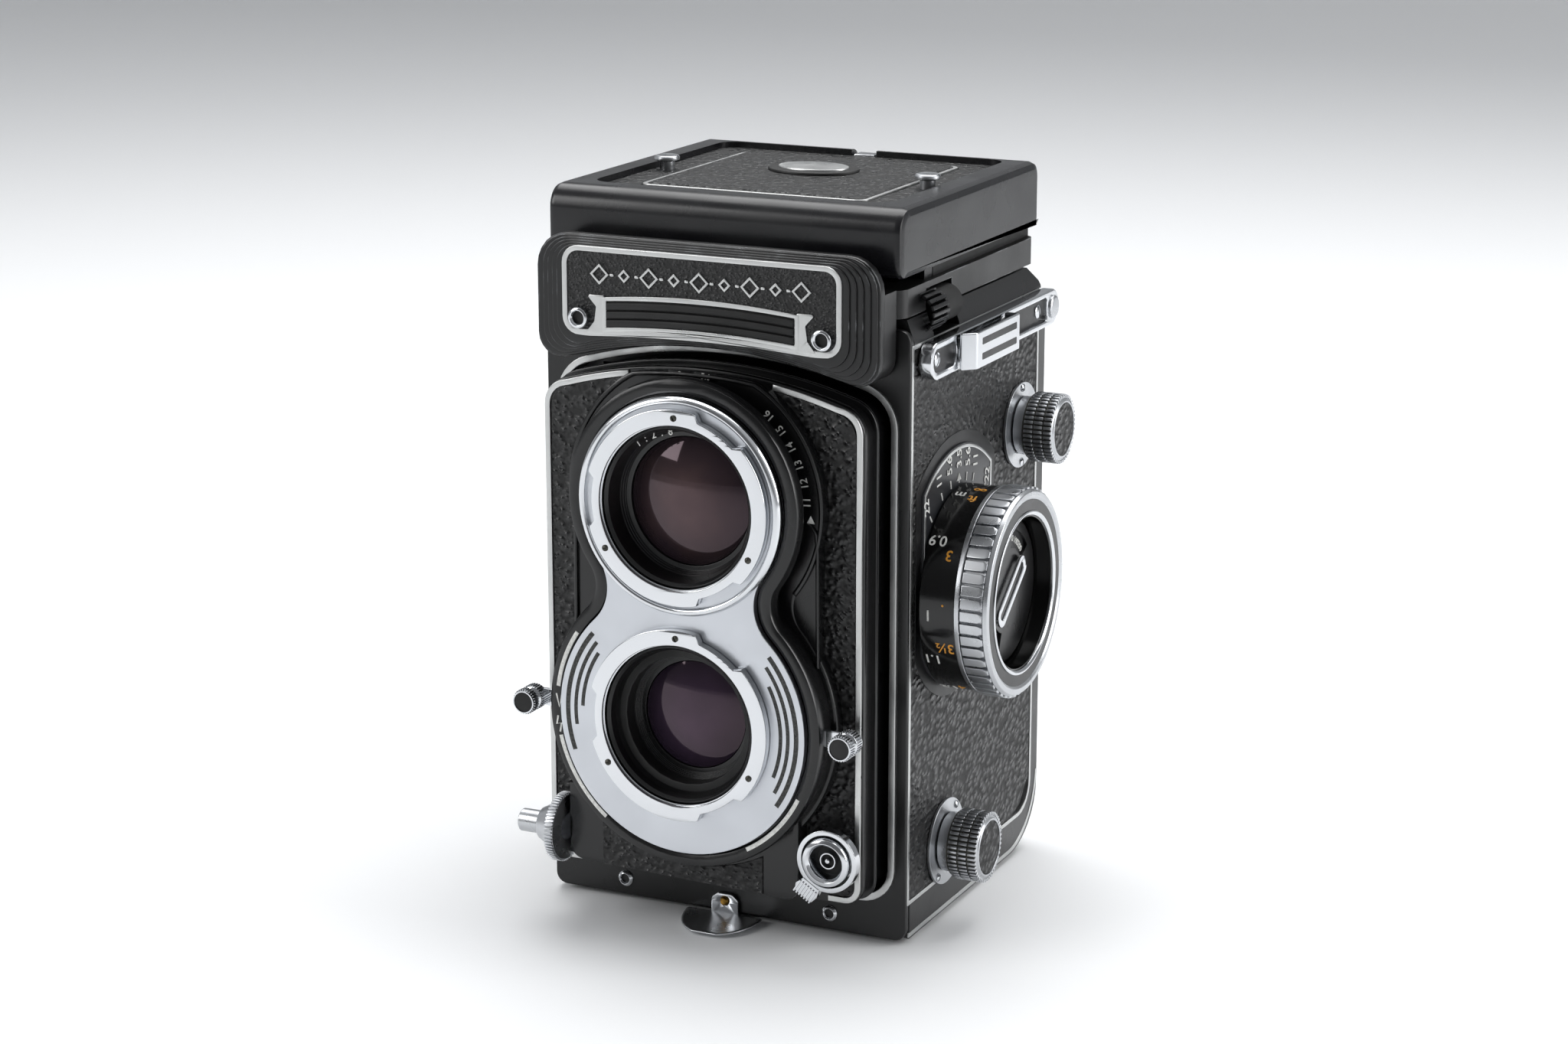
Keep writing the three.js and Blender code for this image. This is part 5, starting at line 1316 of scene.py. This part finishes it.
bolt = [(-26.6, AXIS - 2.2), (-26.9, AXIS - 3.9), (-25.9, AXIS - 3.6), (-26.2, AXIS - 5.4)]
lines.append(stamped("bolt", [strip(bolt, 0.35)], "Y", RIM_FACE, RIM_FACE + 0.1, 0.01))
settle(joined("rim_lines", lines), WHITE_FILL, "front_standard")

# ---- lens bayonets ----
# Each lens has a polished three-lobed bayonet ring for filters and hoods, with a wide flat face,
# three shallow notches, three small screws and a polished inner step.


def lobed(radius, depth, middles, width=17):
    """A ring outline with shallow notches, as (X, Z) about the origin. Angles run clockwise from the top."""
    out = []
    for i in range(240):
        turn = 1.5 * i
        away = min(abs((turn - m + 180) % 360 - 180) for m in middles)
        ease = min(max((width - away) / 4.0, 0), 1)
        r = radius - depth * ease * ease * (3 - 2 * ease)
        out.append((r * math.sin(math.radians(turn)), r * math.cos(math.radians(turn))))
    return out[::-1]


for name, z in (("viewing", VIEW), ("taking", AXIS)):
    notched = [(x, z + v) for x, v in lobed(18.7, 1.35, (30, 150, 270))]
    inner = arc(0, z, BORE, 0, 360, 120)[:-1]
    ring = stamped(f"{name}_bayonet_ring", [notched, inner], "Y", FRONT, PLATE_Y - 0.15, 0.25)
    settle(ring, CHROME, "front_standard", [f"{name}_bayonet"])
    shelf = turned(f"{name}_bayonet_shelf", hoop(BORE - 0.2, BORE + 0.4, FRONT + 0.7, FRONT + 3.2), "Y",
                   (0, 0, z), 120, 0.1)
    settle(shelf, CHROME, "front_standard")
    heads = []
    for turn in (0, 118, 238):
        t = math.radians(turn)
        heads.append(slotted_screw((17.1 * math.sin(t), FRONT + 0.12, z + 17.1 * math.cos(t)), 0.62, "Y",
                                   -1, turn + 30))
    settle(joined(f"{name}_bayonet_screws", heads), CHROME_DARK, "front_standard")

# ---- lens barrels and glasses ----
# The barrels are turned, blackened and stepped against stray light. The glasses are coated; their dull plum
# colour is painted on to opaque domes, darkening towards the rim as painted shade from the barrel.

LENS_BLACK = enamel("anodised_lens_black", "0a0a0b", 0.32)


def barrel(name, z, glass_radius, glass_edge, rear, ridges):
    """A turned mount whose mouth narrows to the glass in fine ridges."""
    mouth = BORE - 0.3
    outer = [(mouth, rear), (mouth, FRONT + 1.2), (mouth - 0.4, FRONT + 0.9), (mouth - 0.9, FRONT + 1.5)]
    flat_in = glass_radius + 0.9 + 0.22 * ridges
    slope = [(mouth - 1.1, FRONT + 3.0), (flat_in + 0.2, glass_edge - 1.9)]
    for i in range(ridges):
        r = flat_in - 0.22 * i
        y = glass_edge - 1.6 + 1.4 * i / ridges
        slope += [(r, y), (r - 0.05, y + 0.25)]
    profile = outer + slope + [(glass_radius + 0.2, glass_edge - 0.3),
                               (glass_radius + 0.1, glass_edge + 0.6),
                               (glass_radius - 1.5, glass_edge + 6), (glass_radius - 1.5, rear),
                               (mouth, rear)]
    piece = turned(name, profile, "Y", (0, 0, z), 128, 0.06)
    return settle(piece, LENS_BLACK, "front_standard", [name.replace("mount", "barrel")])


viewing_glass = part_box("viewing_glass")
taking_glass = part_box("taking_glass")
VIEW_R = viewing_glass[1].x / MM
TAKE_R = taking_glass[1].x / MM
VIEW_EDGE = FRONT + 6.9
TAKE_EDGE = FRONT + 8.5
barrel("viewing_mount", VIEW, VIEW_R, VIEW_EDGE, FRONT + 16, 3)
barrel("taking_mount", AXIS, TAKE_R, TAKE_EDGE, FRONT + 16, 6)


def coated(name, z, inner, outer):
    """Coated glass over a dark barrel, painted on an opaque dome: a plum colour in the middle, darker towards
    the rim as painted shade, a clear gloss on top.
    """
    material, tree, shader = glassy(name, inner, 0.05, "b89aa6", 0.25)
    place = object_place(tree)
    centred = add_node(tree, "ShaderNodeMapping", Vector=place, Location=(0, 0, -z * MM),
                       Scale=(1, 0, 1)).outputs[0]
    away = add_node(tree, "ShaderNodeVectorMath", {"operation": "LENGTH"}, i0=centred).outputs["Value"]
    # Painted shade: the colour darkens with distance from the lens centre, standing in for the barrel's shade
    # at the rim.
    painted_rim_shade = between(tree, away, 0.0, 1.0, 0.003, 0.0122)
    cloud = between(tree, noise(tree, place, 9, 2), 0.0, 0.5)
    mix = add_node(tree, "ShaderNodeMix", {"data_type": "RGBA"}, i0=painted_rim_shade, i6=rgb(inner), i7=rgb(outer))
    blend = add_node(tree, "ShaderNodeMix", {"data_type": "RGBA"}, i0=cloud, i6=mix.outputs[2],
                     i7=rgb("1b1620"))
    tree.links.new(blend.outputs[2], shader.inputs["Base Color"])
    return material


def dome(name, z, radius, edge, bulge, finish):
    sphere = (radius ** 2 + bulge ** 2) / (2 * bulge)
    profile = [(0, edge + 5.5), (radius, edge + 5.5)]
    for i in range(25):
        r = radius * (1 - i / 24)
        profile.append((r, edge - (math.sqrt(sphere ** 2 - r ** 2) - (sphere - bulge))))
    piece = turned(name + "_front", profile, "Y", (0, 0, z), 128)
    settle(piece, finish, "front_standard", [name])


dome("viewing_glass", VIEW, VIEW_R, VIEW_EDGE, 2.3, coated("viewing_lens_painted_plum_and_shade", VIEW, "493a3a", "1f1719"))
dome("taking_glass", AXIS, TAKE_R, TAKE_EDGE, 1.6, coated("taking_lens_painted_plum_and_shade", AXIS, "3e3040", "18121c"))
refined("shutter_case", MATT_BLACK, 0.2)
signs = []
for i, text in enumerate("1:2.8"):
    t = math.radians(128 - i * 7.5)
    r = 14.0
    signs.append(lettering(text, 1.9, on_front(r * math.cos(t), FRONT + 2.6, VIEW + r * math.sin(t),
                                               38 - i * 7.5)))
settle(joined("viewing_lens_speed", signs), WHITE_FILL, "front_standard")

# ---- exposure levers ----
# A lever on each side of the taking lens ends in a small chromed knob: a black cap, then two
# knurled bands.

for side, name in ((1, "right"), (-1, "left")):
    node = f"exposure_lever_{name}"
    low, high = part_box(node)
    knob_x = side * (max(abs(low.x), abs(high.x)) / MM - 2.45)
    spot = (knob_x, 0, AXIS)
    front = low.y / MM
    x0, x1 = sorted((side * 26.2, knob_x))
    arm = stamped(f"lever_arm_{name}", [rounded_box(x0, x1, AXIS - 1.7, AXIS + 1.7, 0.6)], "Y",
                  FRONT + 5.65, FRONT + 6.5, 0.15)
    settle(arm, CHROME, node, [node])
    knob = turned(f"lever_knob_{name}", [(0, front + 0.5), (1.95, front + 0.5), (1.95, front + 0.1),
                                         (2.25, front + 0.1), (2.3, front + 2.2), (1.8, front + 2.5),
                                         (1.8, front + 2.9), (2.3, front + 3.2), (2.3, front + 5.6),
                                         (0, front + 5.6)], "Y", spot, 56, 0.1)
    settle(knob, CHROME, node)
    cap = turned(f"lever_cap_{name}", [(0, front + 0.2), (1.9, front + 0.25), (1.9, front + 0.6),
                                       (0, front + 0.6)], "Y", spot, 40, 0.1)
    settle(cap, MATT_BLACK, node)
    ridge = joined("ridge", [block(2.15, 2.5, -0.1, 0.1, 0.45, 2.1), block(2.15, 2.5, -0.1, 0.1, 3.3, 5.3)])
    ring = ring_of(f"lever_knurl_{name}", ridge, 30, "Y", (knob_x, front, AXIS))
    settle(ring, CHROME, node, bevel=0.06)

# ---- shutter release ----
# The release plunger points to the camera's right hand. It has a satin tip in a cone, inside a
# knurled collar that turns to lock it.

low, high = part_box("release_collar")
release = (0, (low.y + high.y) / 2 / MM, (low.z + high.z) / 2 / MM)
collar_in = high.x / MM
collar_out = low.x / MM
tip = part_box("release_plunger")[0].x / MM
collar = turned("release_cone", [(2.6, collar_out), (3.1, collar_out), (3.3, collar_out + 0.3),
                                 (4.9, collar_out + 3.4), (6.4, collar_in - 1.8), (6.4, collar_in),
                                 (2.6, collar_in), (2.6, collar_out)], "X", release, 72, 0.15)
settle(collar, SATIN_CHROME, "release_collar", ["release_collar"])
plunger = turned("release_tip", [(0, tip + 0.5), (1.2, tip + 0.5), (1.3, tip), (1.9, tip),
                                 (2.25, tip + 0.3), (2.3, -31), (0, -31)], "X", release, 64, 0.1)
settle(plunger, SATIN_CHROME, "release_plunger", ["release_plunger"])
ridge = block(6.2, 6.8, -0.17, 0.17, -1.75, -0.05)
ring = ring_of("release_knurl", ridge, 60, "X", (collar_in, release[1], release[2]))
settle(ring, SATIN_CHROME, "release_collar", bevel=0.08)

# ---- flash socket ----
# A coaxial flash socket in a chromed ring. A second ring turns round it to lock the plug, moved by
# a ribbed tab.

low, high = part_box("flash_socket")
socket = (((low.x + high.x) / 2) / MM, 0, ((low.z + high.z) / 2) / MM)
socket_front = low.y / MM
ring = turned("socket_ring", [(2.7, socket_front + 2.4), (3.3, socket_front + 0.6), (3.8, socket_front),
                              (4.6, socket_front + 0.3), (4.8, socket_front + 1),
                              (4.8, socket_front + 3.4), (2.7, socket_front + 3.4),
                              (2.7, socket_front + 2.4)], "Y", socket, 80, 0.12)
settle(ring, CHROME, "front_standard", ["flash_socket"])
cup = turned("socket_cup", [(0, socket_front + 2.9), (1.3, socket_front + 2.9), (1.3, socket_front + 3.2),
                            (2.75, socket_front + 3.2), (2.75, socket_front + 3.4),
                            (0, socket_front + 3.4)], "Y", socket, 56)
settle(cup, MATT_BLACK, "front_standard")
pin = joined("socket_pin",
             [turned("pin", [(0, socket_front + 1.4), (0.45, socket_front + 1.5),
                             (0.45, socket_front + 3.1), (0, socket_front + 3.1)], "Y", socket, 32, 0.08),
              turned("sleeve", hoop(1.35, 1.6, socket_front + 1.7, socket_front + 3.3), "Y", socket, 48,
                     0.05)])
settle(pin, CHROME, "front_standard")
lock = turned("socket_lock_ring", [(5.05, FRONT + 6.0), (5.2, FRONT + 5.5), (6.1, FRONT + 5.6),
                                   (6.2, FRONT + 7.3), (5.05, FRONT + 7.3), (5.05, FRONT + 6.0)], "Y",
              socket, 80, 0.1)
settle(lock, CHROME, "flash_lock_lever", ["flash_lock_lever"])
tab_lean = 213
tab_outline = [(-2.0, 5.6), (-2.4, 7.4), (-2.0, 9.0), (2.0, 9.0), (2.6, 7.6), (1.9, 5.6)]
tab = stamped("socket_tab", [rounded(tab_outline[::-1], 0.3)], "Y", FRONT + 5.5, FRONT + 7.2, 0.2)
ribs = [stamped("tab_rib", [rounded_box(-1.9 + 0.62 * i, -1.55 + 0.62 * i, 6.4, 9.15, 0.1)], "Y",
                FRONT + 5.2, FRONT + 6, 0.1) for i in range(7)]
tab_all = joined("socket_lock_tab", [tab] + ribs)
tab_all.data.transform(Matrix.Translation((socket[0] * MM, 0, socket[2] * MM))
                       @ Matrix.Rotation(math.radians(tab_lean), 4, "Y"))
settle(tab_all, CHROME, "flash_lock_lever")

# ---- rear door, base and latch ----
# The rear door wraps under the camera as one pressed shell, hinged at the top. A spoon-shaped latch
# at the front of the base holds it shut, and a brass pin carries the latch.

DOOR_ENAMEL = enamel("door_black_enamel", "0e0e0f", 0.32)
refined("back_door", DOOR_ENAMEL, 0.5, 25)
for node in ("tripod_bush", "foot_front_left", "foot_front_right", "foot_rear_left", "foot_rear_right"):
    refined(node, CHROME, 0.12)
refined("pressure_plate", MATT_BLACK, 0.2)
refined("takeup_spool", MATT_BLACK, 0.15)
refined("supply_spool", MATT_BLACK, 0.15)
door_skin = stamped("door_leatherette",
                    [rounded_box(-HALF_WIDTH + 2.6, HALF_WIDTH - 2.6, AXIS - 27, AXIS + 68.0, 1.0)], "Y",
                    REAR - 0.1, REAR + 0.25, 0.1)
settle(door_skin, LEATHERETTE, "back_door")
door_line = stamped("door_back_line",
                    [rounded_box(-HALF_WIDTH + 1.7, HALF_WIDTH - 1.7, AXIS - 27.9, AXIS + 68.9, 1.4),
                     rounded_box(-HALF_WIDTH + 2.5, HALF_WIDTH - 2.5, AXIS - 27.1, AXIS + 68.1, 1.0)], "Y",
                    REAR - 0.1, REAR + 0.32, 0.08)
settle(door_line, NICKEL_LINE, "back_door")

low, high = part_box("latch_lever")
strap_shape = rounded([(-2.9, BASE - 0.7), (2.9, BASE - 0.7), (2.9, AXIS - 41.2), (1.6, AXIS - 40.1),
                       (-1.6, AXIS - 40.1), (-2.9, AXIS - 41.2)], [0.3, 0.3, 1.4, 1.2, 1.2, 1.4])
hole = arc(0, AXIS - 41.6, 0.95, 0, 360, 32)[:-1]
strap = stamped("latch_strap", [strap_shape, hole], "Y", BODY_FRONT - 0.9, BODY_FRONT - 0.3, 0.15)
settle(strap, CHROME, "latch_lever", ["latch_lever"])


def spoon():
    """The latch's tongue: half an oval of sheet, dished, its straight edge meeting the strap."""
    across = 20
    along = 12
    verts = []
    faces = []
    for j in range(along + 1):
        for i in range(across + 1):
            u = 2 * i / across - 1
            t = j / along
            half = 8.2 * math.sqrt(max(1 - ((1 - t) if t > 0 else 1) ** 2 * 0.9, 0)) if j else 2.6
            reach = 11.2 * (1 - t)
            x = u * half + 0.8 * (1 - t)
            dish = 0.45 * (1 - u * u) * math.sin(math.pi * t)
            verts.append((x * MM, (BODY_FRONT - 0.6 - reach) * MM, (0.95 - dish) * MM))
    for j in range(along):
        for i in range(across):
            a = j * (across + 1) + i
            faces.append((a, a + 1, a + across + 2, a + across + 1))
    mesh = bpy.data.meshes.new("latch_tongue")
    mesh.from_pydata(verts, [], faces)
    sheet = link("latch_tongue", mesh)
    wall = sheet.modifiers.new("wall", "SOLIDIFY")
    wall.thickness = 0.5 * MM
    wall.offset = 0
    smooth = sheet.modifiers.new("smooth", "SUBSURF")
    smooth.levels = smooth.render_levels = 1
    return sheet


settle(spoon(), SATIN_CHROME, "latch_lever")
pin = turned("latch_pin", [(0, BODY_FRONT - 1.5), (0.6, BODY_FRONT - 1.45), (0.9, BODY_FRONT - 1.1),
                           (0.9, BODY_FRONT - 0.1), (0, BODY_FRONT - 0.1)], "Y", (0, 0, AXIS - 41.6), 32, 0.1)
settle(pin, BRASS, "body", ["catch_pin"])
